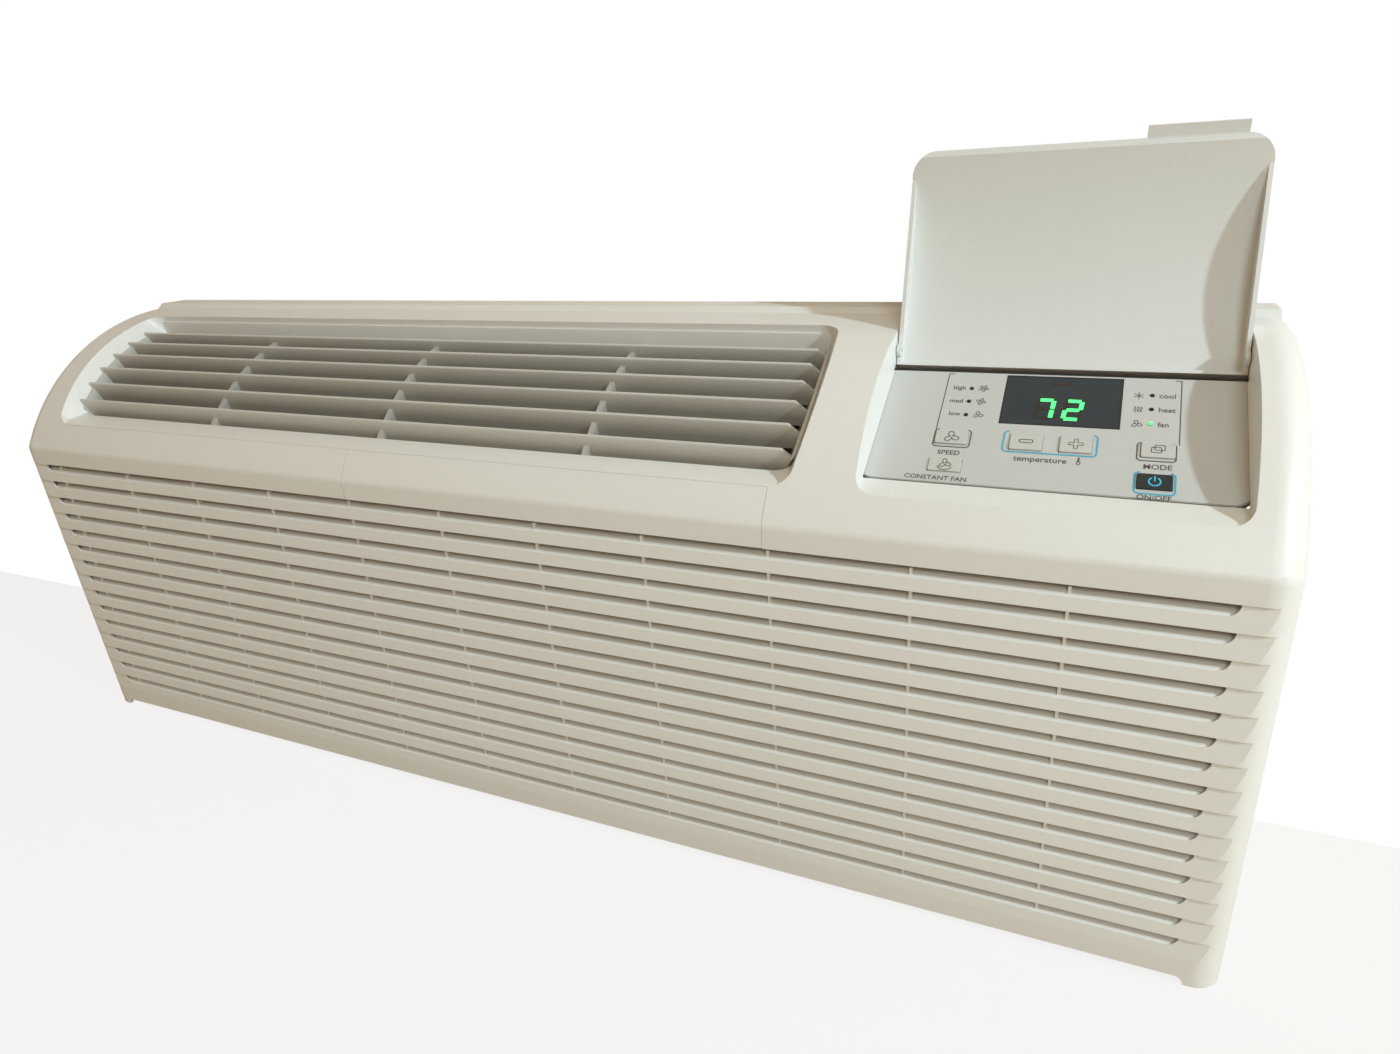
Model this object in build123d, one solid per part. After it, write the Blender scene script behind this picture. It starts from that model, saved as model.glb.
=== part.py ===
from build123d import *
import os
from math import acos, asin, cos, degrees, pi, radians, sin, sqrt, tan

# Through-the-wall air conditioner: a room cover on a slide-in chassis.
# Millimetres. X runs along the wall, Y goes into the wall, Z is up.
# The origin is under the base pan, on the centre line, at the face of the wall.

# Room cover
cover_width = 1067.0
cover_height = 406.4
cover_depth = 194.0          # wall to the foot of the louvred face
cover_wall = 3.0
foot_lift = 6.0              # the bottom edge stands this far up between the ends
face_lean = 0.046            # the face comes forward by this much for each mm of height
top_radius = 203.0           # the curved top, seen from the end
top_centre_y = -27.0
top_centre_z = 199.5
ridge_round = 8.0
end_round = 18.0             # rounding of both ends, in plan
rim_depth = 32.0             # raised strip along the wall
rim_end = 9.0                # the strip stops this far short of each end

# Louvred face
slot_count = 15
slot_pitch = 17.11
slot_top_z = 277.3           # upper edge of the first slot
slot_height = 8.0
slot_half_length = 505.0
slot_corner = 7.4
lap_depth = 1.6              # step under the edge of each lap
web_thickness = 2.0
web_reach = 9.0              # depth of the slanted webs behind the face
stay_thickness = 2.0
stay_positions = (-390.0, -302.0, -210.0, -30.0, 57.0, 145.0, 330.0, 420.0)

# Recesses in the curved top, on the chord from the lip to their rear edge
lip_angle = 55.1             # of the lip, from straight up, about the top's centre
chord_rise = 33.2            # slope of that chord
recess_wall = 2.5
shelf_run = 20.0             # the shelf behind the lip, along the chord
shelf_drop = 8.5
grille_left = -485.0
grille_right = 247.0
grille_span = 151.2          # chord length of the grille's recess
grille_draft = 0.5
control_left = 291.0
control_right = 506.0
control_span = 160.0         # long enough for the open door to lean back
control_draft = 0.09
recess_corner = 12.0

# Discharge grille
vane_count = 6
vane_first_angle = 17.5
vane_step_angle = 5.75
vane_thickness = 3.0
vane_height = 18.0
vane_drop = 9.0              # tops of the vanes below the curved top
vane_lean = 12.0
vane_end_cut = 13.0
rib_positions = (-301.0, -108.0, 85.0)
rib_thickness = 4.0
rib_drop = 15.0
grille_fit = 0.4
ring_width = 6.0
ring_top = -17.0
ring_bottom = -22.0

# Control door
door_thickness = 2.5
door_side_gap = 1.0
door_gap = 0.8
door_bevel = 3.4             # slant of the free edge, which clears the shelf
door_rear_angle = 13.1
door_corner = 16.0
door_rear_wall = 9.0
door_open_turn = 135.0
pivot_y = -79.4
pivot_z = 383.8
pin_radius = 1.5
pin_clearance = 0.05
pin_length = 9.0
lobe_radius = 4.5
pivot_sweep = 15.7
tab_left = 435.0
tab_right = 490.0
tab_reach = 7.0

# Filters
cap_left = -484.0
cap_middle = -120.4
cap_right = 234.9
cap_gap = 0.3
filter_front = 10.0          # behind the louvred face
filter_thickness = 3.0
filter_foot_z = 34.0
filter_top_z = 306.0
filter_border = 8.0
filter_bar = 2.4
filter_columns = 7
filter_rows = 5
mesh_thickness = 0.5
rail_thickness = 2.0
rail_lip = 6.0

# Control panel
panel_foot_y = -172.0
panel_foot_z = 319.5
panel_slope = 30.7
panel_left = 284.0
panel_right = 510.0
panel_low = 0.8
panel_high = 101.0
panel_thickness = 3.0
overlay_thickness = 0.4
display_x = 402.2
display_width = 70.0
display_low = 54.6
display_high = 99.0
window_thickness = 1.2
button_travel = 0.8
button_proud = 1.2
button_gap = 0.25
button_stem = 4.0
lamp_radius = 1.3
lamp_heights = (60.5, 73.0, 85.2)
lamp_columns = (346.0, 454.0)

# Buttons: centre along X, centre up the slope, width, height
buttons = {
    "button_fan_speed": (340.5, 38.9, 20.0, 10.6),
    "button_constant_fan": (340.2, 15.4, 20.0, 10.8),
    "button_minus": (385.5, 39.0, 19.2, 13.6),
    "button_plus": (414.1, 39.2, 18.4, 13.4),
    "button_mode": (459.0, 38.2, 18.2, 11.2),
    "button_power": (458.1, 13.7, 18.6, 11.4),
}

# Chassis
chassis_width = 1034.0
chassis_front = -165.0
chassis_rear = 345.0
sheet = 1.5
pan_edge = 26.0
bulkhead_y = 45.0
chassis_top = 385.0
flange_reach = 528.0
flange_inset = 12.0            # the folded leg stands this far inside the chassis side
flange_hole_x = 520.0
flange_hole_low = 80.0
flange_hole_high = 320.0
flange_hole_radius = 2.75
screw_low = 110.0              # the screws fitted to the flanges, beside the open holes
screw_high = 290.0
screw_radius = 2.2
screw_play = 0.2

# Indoor side
coil_left = -478.0
coil_right = 222.0
coil_front = -155.0
coil_depth = 38.0
coil_foot = 40.0
coil_top = 246.0
tube_radius = 4.8
tube_pitch = 25.4
tube_sides = 8                 # flats round a return bend
blower_y = -40.0
blower_z = 200.0
blower_radius = 54.0
blower_left = -468.0
blower_right = 214.0
blower_blades = 26
blower_discs = 6
blade_depth = 13.0
blower_shaft = 6.0
scroll_left = -482.0
scroll_right = 226.0
scroll_wall = 2.5
motor_radius = 46.0
motor_left = 234.0
motor_right = 306.0

# Control box
box_left = 330.0
box_right = 490.0
box_front = -150.0
box_rear = 10.0
box_foot = 78.0
box_top = 298.0
gland_x = 478.0
gland_z = 92.0

# Fresh-air vent
port_left = 345.0
port_right = 465.0
port_foot = 14.0
port_top = 56.0
flap_thickness = 2.0
lever_x = 405.0
lever_z = 24.0
lever_travel = 14.0
grip_half = 10.0
grip_drop = 7.0
grip_rise = 10.0

# Outdoor side
fan_x = 60.0
fan_z = 186.0
fan_radius = 160.0
fan_hub = 42.0
fan_blades = 5
fan_front = 228.0
fan_depth = 46.0
ring_section = 5.0
orifice_radius = 170.0
shroud_y = 284.0
condenser_front = 298.0
condenser_depth = 42.0
condenser_half = 495.0
condenser_foot = 30.0
condenser_top = 378.0
outdoor_motor_radius = 58.0
outdoor_motor_front = 112.0
outdoor_motor_rear = 205.0
outdoor_shaft = 6.0

# Compressor
comp_x = -375.0
comp_y = 165.0
comp_radius = 73.0
comp_foot = 22.0
comp_top = 290.0
comp_bolt_circle = 92.0
grommet_height = 18.0

half_width = cover_width / 2


def prism_x(outline, x_from, x_to):
    """A section drawn in Y and Z, carried along X."""
    return Pos(x_from, 0, 0) * extrude(Plane.YZ * outline, x_to - x_from)


def prism_y(outline, y_from, y_to):
    """A section drawn in X and Z, carried along Y."""
    return Pos(0, y_to, 0) * extrude(Plane.XZ * outline, y_to - y_from)


def polygon(*points):
    return make_face(Polyline(*points, close=True))


def block(x_from, x_to, y_from, y_to, z_from, z_to):
    size = (x_to - x_from, y_to - y_from, z_to - z_from)
    middle = ((x_from + x_to) / 2, (y_from + y_to) / 2, (z_from + z_to) / 2)
    return Pos(*middle) * Box(*size)


def rod_x(x_from, x_to, y, z, radius):
    return Pos((x_from + x_to) / 2, y, z) * Rot(Y=90) * Cylinder(radius, x_to - x_from)


def rod_y(x, y_from, y_to, z, radius):
    return Pos(x, (y_from + y_to) / 2, z) * Rot(X=90) * Cylinder(radius, y_to - y_from)


def rod_z(x, y, z_from, z_to, radius):
    return Pos(x, y, (z_from + z_to) / 2) * Cylinder(radius, z_to - z_from)


def tube_along(points, radius, bend):
    """A round tube through the points, with every corner turned on one radius."""
    path = FilletPolyline(*points, radius=bend)
    start = Plane(origin=path @ 0, z_dir=path % 0)
    return sweep(start * Circle(radius), path=path)


def face_y(z):
    """Y of the louvred face at a height."""
    return -cover_depth - face_lean * (z - foot_lift)


def on_face(depth, z):
    """A point this deep behind the louvred face, in Y and Z."""
    return (face_y(z) + depth, z)


def on_top(angle, drop):
    """A point of the curved top, this far below it, in Y and Z."""
    radius = top_radius - drop
    return (top_centre_y - radius * sin(radians(angle)),
            top_centre_z + radius * cos(radians(angle)))


def on_chord(along, out):
    """A point along the chord behind the lip, and square out of it, in Y and Z."""
    lip_y, lip_z = on_top(lip_angle, 0)
    c, s = cos(radians(chord_rise)), sin(radians(chord_rise))
    return (lip_y + along * c - out * s, lip_z + along * s + out * c)


def top_height(y, drop=0):
    """Z of the curved top at Y."""
    radius = top_radius - drop
    return top_centre_z + sqrt(radius ** 2 - (y - top_centre_y) ** 2)


def ridge_point(inset):
    """Where the face and the curved top meet, for a wall this far inside."""
    a = 1 + face_lean ** 2
    y_zero = face_y(0) + inset
    b = -2 * face_lean * (y_zero - top_centre_y) - 2 * top_centre_z
    c = (y_zero - top_centre_y) ** 2 + top_centre_z ** 2 - (top_radius - inset) ** 2
    z = (-b + sqrt(b ** 2 - 4 * a * c)) / (2 * a)
    return (y_zero - face_lean * z, z)


def cover_block(inset):
    """The whole body of the cover, or the hollow inside its walls."""
    bottom = -5.0 if inset else 0.0
    rear = 5.0 if inset else 0.0
    foot = on_face(inset, bottom)
    ridge = ridge_point(inset)
    radius = top_radius - inset
    ridge_turn = degrees(asin((top_centre_y - ridge[0]) / radius))
    crown = (rear, top_height(rear, inset))
    middle = on_top(ridge_turn * 0.4, inset)
    edges = Line(foot, ridge) + ThreePointArc(ridge, middle, crown)
    edges += Polyline(crown, (rear, bottom), foot)
    section = make_face(edges)
    corner = [v for v in section.vertices() if abs(v.X - ridge[0]) < 0.5 and v.Y > 200]
    section = fillet(corner, ridge_round - inset)
    half = half_width - inset
    body = prism_x(section, -half, half)
    ends = [e for e in body.edges() if abs(abs(e.center().X) - half) < 0.01
            and e.center().Y < -8 and e.center().Z > 20]
    return fillet(ends, end_round - inset)


def recess_tool(left, right, draft, outline, corner, corners_to=0.0):
    """A recess that narrows as it goes down: an outline on the chord, drafted at both ends."""
    reach = 45.0
    slab = prism_x(polygon(*[on_chord(a, w) for a, w in outline]), left - reach, right + reach)
    low = 40.0
    section = polygon((left + draft * low, -low), (left - draft * reach, reach),
                      (right + draft * reach, reach), (right - draft * low, -low))
    origin = on_chord(-30.0, 0)
    along = (0, cos(radians(chord_rise)), sin(radians(chord_rise)))
    plane = Plane(origin=(0, *origin), x_dir=(1, 0, 0), z_dir=(0, -along[1], -along[2]))
    taper = extrude(plane * section, -240.0)
    tool = slab & taper
    upright = [e for e in tool.edges() if e.geom_type == GeomType.LINE
               and abs(e.tangent_at(0).X) < 0.6 and e.center().Y < corners_to
               and abs(e.tangent_at(0).Y * along[1] + e.tangent_at(0).Z * along[2]) < 0.1
               and e.length > 20]
    return fillet(upright, corner) if corner else tool


def recess_outline(span, rear_foot, floor, grow):
    """Lip, shelf, open floor and rear wall of a recess, as seen from the end."""
    return [(-grow, -grow), (-grow, 40), (span + grow, 40), (span + grow, -grow),
            (rear_foot + grow, floor + 4), (rear_foot + grow, floor),
            (shelf_run - grow, floor), (shelf_run - grow, -shelf_drop - grow)]


def slot_window(index):
    """One slot through the face: square above, rounded at both lower corners."""
    top = slot_top_z - index * slot_pitch
    outline = Pos(0, top - slot_height / 2) * Rectangle(2 * slot_half_length, slot_height)
    outline = fillet(outline.vertices().sort_by(Axis.Y)[:2], slot_corner)
    return prism_y(outline, face_y(top) - 6, face_y(top) + cover_wall + 3)


def lap_cut(index):
    """The shallow step under each lap, which dies out round the ends."""
    top = slot_top_z - index * slot_pitch
    foot = top - slot_pitch + 0.6
    outline = polygon((face_y(top) - 5, top), on_face(lap_depth, top), on_face(0, foot),
                      (face_y(foot) - 5, foot))
    return prism_x(outline, -half_width - 2, half_width + 2)


def slot_web(index):
    """The slanted web behind one slot, which hides what is inside."""
    low = slot_top_z - index * slot_pitch - slot_height
    outline = polygon(on_face(0.9, low), on_face(web_reach, low + 6.6),
                      on_face(web_reach, low + 6.6 - 1.3 * web_thickness), on_face(2.6, low - 2.4),
                      on_face(0.9 + 0.4, low - 2.4))
    return prism_x(outline, -slot_half_length - 3, slot_half_length + 3)


def filter_rail(x, lip_left, lip_right):
    """An upright rail that guides the edge of a filter."""
    foot, top = slot_top_z - slot_pitch * slot_count, slot_top_z - 2
    lip_front = filter_front + filter_thickness + mesh_thickness + 0.5
    back = lip_front + 2
    web = polygon(on_face(cover_wall - 0.5, foot), on_face(back, foot), on_face(back, top),
                  on_face(cover_wall - 0.5, top))
    lip = polygon(on_face(lip_front, foot), on_face(back, foot), on_face(back, top), on_face(lip_front, top))
    return prism_x(web, x - rail_thickness / 2, x + rail_thickness / 2) + prism_x(lip, lip_left, lip_right)


def cap_zone(x_from, x_to, gap):
    """The part of the cover's skin that is the handle cap of a filter."""
    low = slot_top_z + gap
    lip_y, lip_z = on_top(lip_angle, 0)
    lip_y -= gap
    inner = (lip_y + face_lean * 26, lip_z - 26)
    outer = (lip_y - face_lean * 20, lip_z + 20)
    outline = polygon((-232, low), (face_y(low) + 9, low), inner, outer, (-232, outer[1]))
    return prism_x(outline, x_from + gap, x_to - gap)


def grille_cavity(grow):
    outline = recess_outline(grille_span, grille_span - 10, -16.0 if grow else -32.0, grow)
    corner = recess_corner + grow
    return recess_tool(grille_left - grow, grille_right + grow, grille_draft, outline, corner)


def control_cavity(grow):
    """The recess over the control panel; its floor follows the panel and its rear is a pocket."""
    floor = -40.0
    outline = [(-grow, -grow), (-grow, 40), (control_span + grow, 40), (control_span + grow, -3),
               (control_span + 2 + grow, -3), (control_span + 2 + grow, -18 if grow else floor)]
    if grow:
        outline += [(128, -18), (128, -12.2), (shelf_run + 0.6, -7.4),
                    (shelf_run, -shelf_drop - grow * 0.6), (shelf_run - grow, -shelf_drop - grow)]
    else:
        outline += [(shelf_run, floor), (shelf_run, -shelf_drop)]
    return recess_tool(control_left - grow, control_right + grow, control_draft, outline,
                       recess_corner + grow, -150.0)


def pivot_bosses(radius, margin):
    left = rod_x(control_left - 8, control_left + margin, pivot_y, pivot_z, radius)
    right = rod_x(control_right - margin, control_right + 8, pivot_y, pivot_z, radius)
    return [left, right]


def make_cover_shell():
    outer = cover_block(0)
    shell = outer - cover_block(cover_wall)
    rear_z = top_height(-rim_depth)
    rim = polygon((-rim_depth - 4, rear_z - 2), (-rim_depth - 2, rear_z), (-rim_depth + 3, cover_height),
                  (0, cover_height), (0, top_height(0) - 2))
    rim = prism_x(rim, -half_width + rim_end, half_width - rim_end)
    tubs = (grille_cavity(recess_wall) + control_cavity(recess_wall)) & outer
    bosses = pivot_bosses(pin_radius + 3, 0.2)
    shell = shell + rim + tubs + bosses[0] + bosses[1]
    raised = Pos(0, foot_lift / 2 - 5) * Rectangle(cover_width - 2 * end_round - 8, foot_lift + 10)
    raised = fillet(raised.vertices().sort_by(Axis.Y)[-2:], foot_lift)
    cuts = [grille_cavity(0), control_cavity(0), prism_y(raised, -230, -150)]
    cuts.append(rod_x(control_left + 0.4, control_right - 0.4, pivot_y, pivot_z, pivot_sweep))
    cuts.append(cap_zone(cap_left, cap_right, 0))
    cuts += [slot_window(i) for i in range(slot_count)]
    cuts += [lap_cut(i) for i in range(slot_count)]
    shell = shell.cut(*cuts)
    webs = [slot_web(i) for i in range(slot_count)]
    foot = slot_top_z - slot_pitch * slot_count - 2
    stay = polygon(on_face(cover_wall - 0.8, foot), on_face(web_reach, foot),
                   on_face(web_reach, slot_top_z - 2), on_face(cover_wall - 0.8, slot_top_z - 2))
    stays = [prism_x(stay, x - stay_thickness / 2, x + stay_thickness / 2) for x in stay_positions]
    rails = [filter_rail(cap_left - 2.4, cap_left - 3.4, cap_left + rail_lip),
             filter_rail(cap_middle, cap_middle - rail_lip, cap_middle + rail_lip),
             filter_rail(cap_right + 2.4, cap_right - rail_lip, cap_right + 3.4)]
    foot_fold = polygon(on_face(0.5, foot_lift), on_face(14, foot_lift), on_face(14, foot_lift + 2.4),
                        on_face(0.5, foot_lift + 2.4))
    fold = prism_x(foot_fold, -half_width + end_round + 6, half_width - end_round - 6)
    shell = shell.fuse(*webs, *stays, *rails, fold)
    holes = pivot_bosses(pin_radius + pin_clearance, 2)
    return shell.cut(*holes)


def top_cylinder(drop):
    return rod_x(-half_width, half_width, top_centre_y, top_centre_z, top_radius - drop)


def make_grille():
    """Six vanes in an open frame, tied by three ribs, shaped to the recess."""
    outline = [(shelf_run + grille_fit, 40), (grille_span - 10.4, 40), (grille_span - 10.4, ring_bottom),
               (shelf_run + grille_fit, ring_bottom)]
    room = recess_tool(grille_left + grille_fit, grille_right - grille_fit, grille_draft, outline,
                       recess_corner)
    inside = recess_tool(grille_left + grille_fit + 2.4, grille_right - grille_fit - 2.4, grille_draft,
                         outline, 0)
    sides = (room - inside) & top_cylinder(vane_drop + 4)
    ring_box = recess_tool(grille_left - 30, grille_right + 30, 0,
                           [(shelf_run + grille_fit, ring_top), (grille_span - 10.4, ring_top),
                            (grille_span - 10.4, ring_bottom), (shelf_run + grille_fit, ring_bottom)], 0)
    hole = recess_tool(grille_left - 40, grille_right + 40, 0,
                       [(shelf_run + ring_width, 0), (grille_span - 10.4 - ring_width, 0),
                        (grille_span - 10.4 - ring_width, -40), (shelf_run + ring_width, -40)], 0)
    ring = (ring_box - hole) & room
    grille = sides + ring
    ribs = [room & block(x - rib_thickness / 2, x + rib_thickness / 2, -260, 0, 200, 420) & top_cylinder(rib_drop)
            for x in rib_positions]
    vanes = []
    for i in range(vane_count):
        y, z = on_top(vane_first_angle + i * vane_step_angle, vane_drop)
        section = Pos(0, -vane_height / 2) * Rectangle(vane_thickness, vane_height)
        section = fillet(section.vertices().sort_by(Axis.Y)[-2:], 1.2)
        vane = prism_x(Pos(y, z) * Rot(0, 0, vane_lean) * section, grille_left - 12, grille_right + 12)
        end = polygon((grille_right - vane_end_cut, z + 1), (grille_right + 14, z + 1),
                      (grille_right + 14, z - 16), (grille_right - 1, z - 9))
        vanes.append((vane & room) - prism_y(end, y - 12, y + 14))
    return grille.fuse(*ribs, *vanes)


def door_closed():
    """The door as it lies on the recess: curved plate, side walls, rear wall, finger tab."""
    left, right = control_left + door_side_gap, control_right - door_side_gap
    front_angle = lip_angle - degrees(door_gap / top_radius)
    mid_angle = (front_angle + door_rear_angle) / 2
    f0, f1, f2 = [on_top(a, 0) for a in (front_angle, mid_angle, door_rear_angle)]
    r0, r1, r2 = [on_top(a, door_thickness) for a in (front_angle, mid_angle, door_rear_angle)]
    plate = make_face(ThreePointArc(f0, f1, f2) + Line(f2, r2) + ThreePointArc(r2, r1, r0) + Line(r0, f0))
    plate = prism_x(plate, left, right)
    front_edges = [e for e in plate.edges() if e.geom_type == GeomType.LINE and e.length < door_thickness + 1
                   and e.center().Y < -150]
    plate = fillet(front_edges, door_corner)
    bevel_angle = front_angle - degrees(door_bevel / top_radius)
    bevel = polygon(f0, on_top(bevel_angle, door_thickness), on_top(bevel_angle, door_thickness + 2),
                    on_top(front_angle + 2, door_thickness + 2), on_top(front_angle + 2, 0))
    plate = plate - prism_x(bevel, left - 1, right + 1)
    rim_rear = on_top(door_rear_angle, door_rear_wall)
    rim_front = on_top(front_angle - 5, door_thickness)
    arc_a, arc_b = on_top(front_angle - 5, 1), on_top(door_rear_angle, 1)
    side = make_face(ThreePointArc(arc_a, on_top(mid_angle, 1), arc_b) + Line(arc_b, rim_rear)
                     + Line(rim_rear, rim_front) + Line(rim_front, arc_a))
    walls = [prism_x(side, left, left + door_thickness), prism_x(side, right - door_thickness, right)]
    lobes = [rod_x(left, left + door_thickness, pivot_y, pivot_z, lobe_radius),
             rod_x(right - door_thickness, right, pivot_y, pivot_z, lobe_radius)]
    rear = polygon(on_top(door_rear_angle, 1), rim_rear, on_top(door_rear_angle + 0.65, door_rear_wall),
                   on_top(door_rear_angle + 0.65, 1))
    tab_turn = degrees(tab_reach / top_radius)
    t0, t1 = on_top(front_angle - 1.2, -2.2), on_top(front_angle + tab_turn, -2.2)
    tab = polygon(on_top(front_angle - 2.4, 0.3), t0, t1, on_top(front_angle + tab_turn, -0.5),
                  on_top(front_angle, -0.5), on_top(front_angle, 0.3))
    tab = prism_x(tab, tab_left, tab_right)
    door = plate.fuse(*walls, *lobes, prism_x(rear, left, right), tab)
    return door.cut(*[rod_x(left - 1, left + door_thickness + 1, pivot_y, pivot_z, pin_radius),
                      rod_x(right - door_thickness - 1, right + 1, pivot_y, pivot_z, pin_radius)])


def turned_open(shape):
    return Pos(0, pivot_y, pivot_z) * Rot(X=-door_open_turn) * Pos(0, -pivot_y, -pivot_z) * shape


def make_door_pins():
    left, right = control_left + door_side_gap, control_right - door_side_gap
    inner = door_thickness
    return Compound([rod_x(left + inner - pin_length, left + inner, pivot_y, pivot_z, pin_radius),
                     rod_x(right - inner, right - inner + pin_length, pivot_y, pivot_z, pin_radius)])


def make_filter(x_from, x_to, outer, inner):
    """Handle cap and moulded grid of one filter."""
    cap = (outer - inner) & cap_zone(x_from, x_to, cap_gap)
    left, right = x_from + 2.4, x_to - 2.4
    width, height = right - left, filter_top_z - filter_foot_z
    sheet_face = Rectangle(width, height)
    grid_width, grid_height = width - 2 * filter_border, height - 2 * filter_border - 14
    cell_w = (grid_width - filter_bar * (filter_columns - 1)) / filter_columns
    cell_h = (grid_height - filter_bar * (filter_rows - 1)) / filter_rows
    cells = GridLocations(cell_w + filter_bar, cell_h + filter_bar, filter_columns, filter_rows)
    sheet_face -= [Pos(0, -7) * cell for cell in cells * Rectangle(cell_w, cell_h)]
    frame = extrude(Plane.XZ * sheet_face, -filter_thickness)
    middle_z = (filter_top_z + filter_foot_z) / 2
    lean = Rot(X=degrees(-asin(-face_lean)))
    frame = Pos((left + right) / 2, face_y(middle_z) + filter_front, middle_z) * lean * frame
    return cap + frame


def make_filter_mesh(x_from, x_to):
    left, right = x_from + 3.4, x_to - 3.4
    front = filter_front + filter_thickness + 0.02
    low, high = filter_foot_z + 3, filter_top_z - 14
    outline = polygon(on_face(front, low), on_face(front + mesh_thickness, low),
                      on_face(front + mesh_thickness, high), on_face(front, high))
    return prism_x(outline, left, right)


def on_panel(shape):
    """Place a piece drawn on the panel: X along, Y up the slope, Z out of its face."""
    plane = Plane(origin=(0, panel_foot_y, panel_foot_z), x_dir=(1, 0, 0),
                  z_dir=(0, -sin(radians(panel_slope)), cos(radians(panel_slope))))
    return plane * shape


def panel_box(x_from, x_to, low, high, under, over):
    return Pos((x_from + x_to) / 2, (low + high) / 2, (under + over) / 2) * \
        Box(x_to - x_from, high - low, over - under)


def button_openings(margin, under, over):
    tools = []
    for x, up, width, height in buttons.values():
        tools.append(panel_box(x - width / 2 - margin, x + width / 2 + margin, up - height / 2 - margin,
                               up + height / 2 + margin, under, over))
    return tools


def lamp_openings(radius, under, over):
    return [Pos(x, up, (under + over) / 2) * Cylinder(radius, over - under)
            for x in lamp_columns for up in lamp_heights]


def display_opening(margin, under, over):
    return panel_box(display_x - display_width / 2 - margin, display_x + display_width / 2 + margin,
                     display_low - margin, display_high + margin, under, over)


def make_control_panel():
    """Moulded carrier: the sloping plate, its skirt and the openings for keys, lamps and window."""
    plate = panel_box(panel_left, panel_right, panel_low, panel_high, -panel_thickness, 0)
    corners = [e for e in plate.edges().filter_by(Axis.Z) if e.center().Y < panel_low + 1]
    plate = fillet(corners, 14)
    ribs = [panel_box(panel_left + 6, panel_right - 6, up, up + 2, -9, -panel_thickness + 0.5)
            for up in (27.0, 51.0)]
    plate = plate.fuse(*ribs)
    holes = button_openings(button_gap, -12, 2) + lamp_openings(lamp_radius + 0.2, -12, 2)
    holes.append(display_opening(0.3, -12, 2))
    plate = on_panel(plate.cut(*holes))
    tip_y, tip_z = panel_foot_y + 8, box_top
    legs = []
    for x in (panel_left + 24, panel_right - 12):
        leg = polygon((tip_y, tip_z), (tip_y + 70, tip_z), (tip_y + 70, tip_z + 72), (tip_y, tip_z + 30))
        legs.append(prism_x(leg, x, x + 3))
    under = on_panel(panel_box(panel_left - 20, panel_right + 20, -60, 160, -80, -panel_thickness + 0.4))
    foot = block(panel_left + 22, panel_right - 8, tip_y, tip_y + 70, tip_z, tip_z + 2.5)
    return plate.fuse(*[leg & under for leg in legs], foot)


def make_overlay():
    """The thin printed sheet that lies on the panel."""
    top = overlay_thickness
    sheet_piece = panel_box(panel_left + 1, panel_right - 1, panel_low + 0.6, panel_high - 0.6, 0, top)
    corners = [e for e in sheet_piece.edges().filter_by(Axis.Z) if e.center().Y < panel_low + 2]
    sheet_piece = fillet(corners, 13.4)
    holes = button_openings(button_gap, -1, 2) + lamp_openings(lamp_radius + 0.2, -1, 2)
    holes.append(display_opening(0.3, -1, 2))
    return on_panel(sheet_piece.cut(*holes))


def make_display_window():
    return on_panel(display_opening(0, -window_thickness, overlay_thickness))


def make_display_module():
    """The two-digit display that stands behind the window."""
    body = panel_box(display_x - 24, display_x + 24, display_low + 2, display_high - 8, -9, -window_thickness)
    return on_panel(body)


def make_lamps():
    lamps = [Pos(x, up, -2.2) * Cylinder(lamp_radius, 5.6) for x in lamp_columns for up in lamp_heights]
    return on_panel(Compound(lamps))


def make_button(name):
    """A key cap with a stem behind it; it stands a little proud of the overlay."""
    x, up, width, height = buttons[name]
    top = overlay_thickness + button_proud
    cap = panel_box(x - width / 2, x + width / 2, up - height / 2, up + height / 2, -2.0, top)
    cap = fillet(cap.edges().filter_by(Axis.Z), 1.2)
    cap = fillet(cap.faces().sort_by(Axis.Z)[-1].edges(), 0.4)
    stem = Pos(x, up, -3.4) * Cylinder(button_stem / 2, 3.0)
    return on_panel(cap + stem)


def make_key_board():
    """The small board behind the panel that carries the switches."""
    return on_panel(panel_box(panel_left + 34, panel_right - 26, 4, 26, -11.5, -9.9)
                    + panel_box(panel_left + 34, panel_right - 26, 25, 97, -11.5, -9.9))


def sheet_tray(x_from, x_to, y_from, y_to, z_from, edge):
    body = block(x_from, x_to, y_from, y_to, z_from, z_from + edge)
    return body - block(x_from + sheet, x_to - sheet, y_from + sheet, y_to - sheet, z_from + sheet,
                        z_from + edge + 1)


def make_base_pan():
    half = chassis_width / 2
    pan = sheet_tray(-half, half, chassis_front, chassis_rear, 0, pan_edge)
    beads = [block(x - 5, x + 5, 70, 215, sheet - 0.2, sheet + 3) for x in (-240.0, -170.0, 260.0, 340.0)]
    notch = block(lever_x - grip_half - 2, lever_x + grip_half + 2, chassis_front - 1, chassis_front + sheet + 1,
                  lever_z - grip_drop - 2, pan_edge + 1)
    return pan.fuse(*beads).cut(notch)


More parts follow.
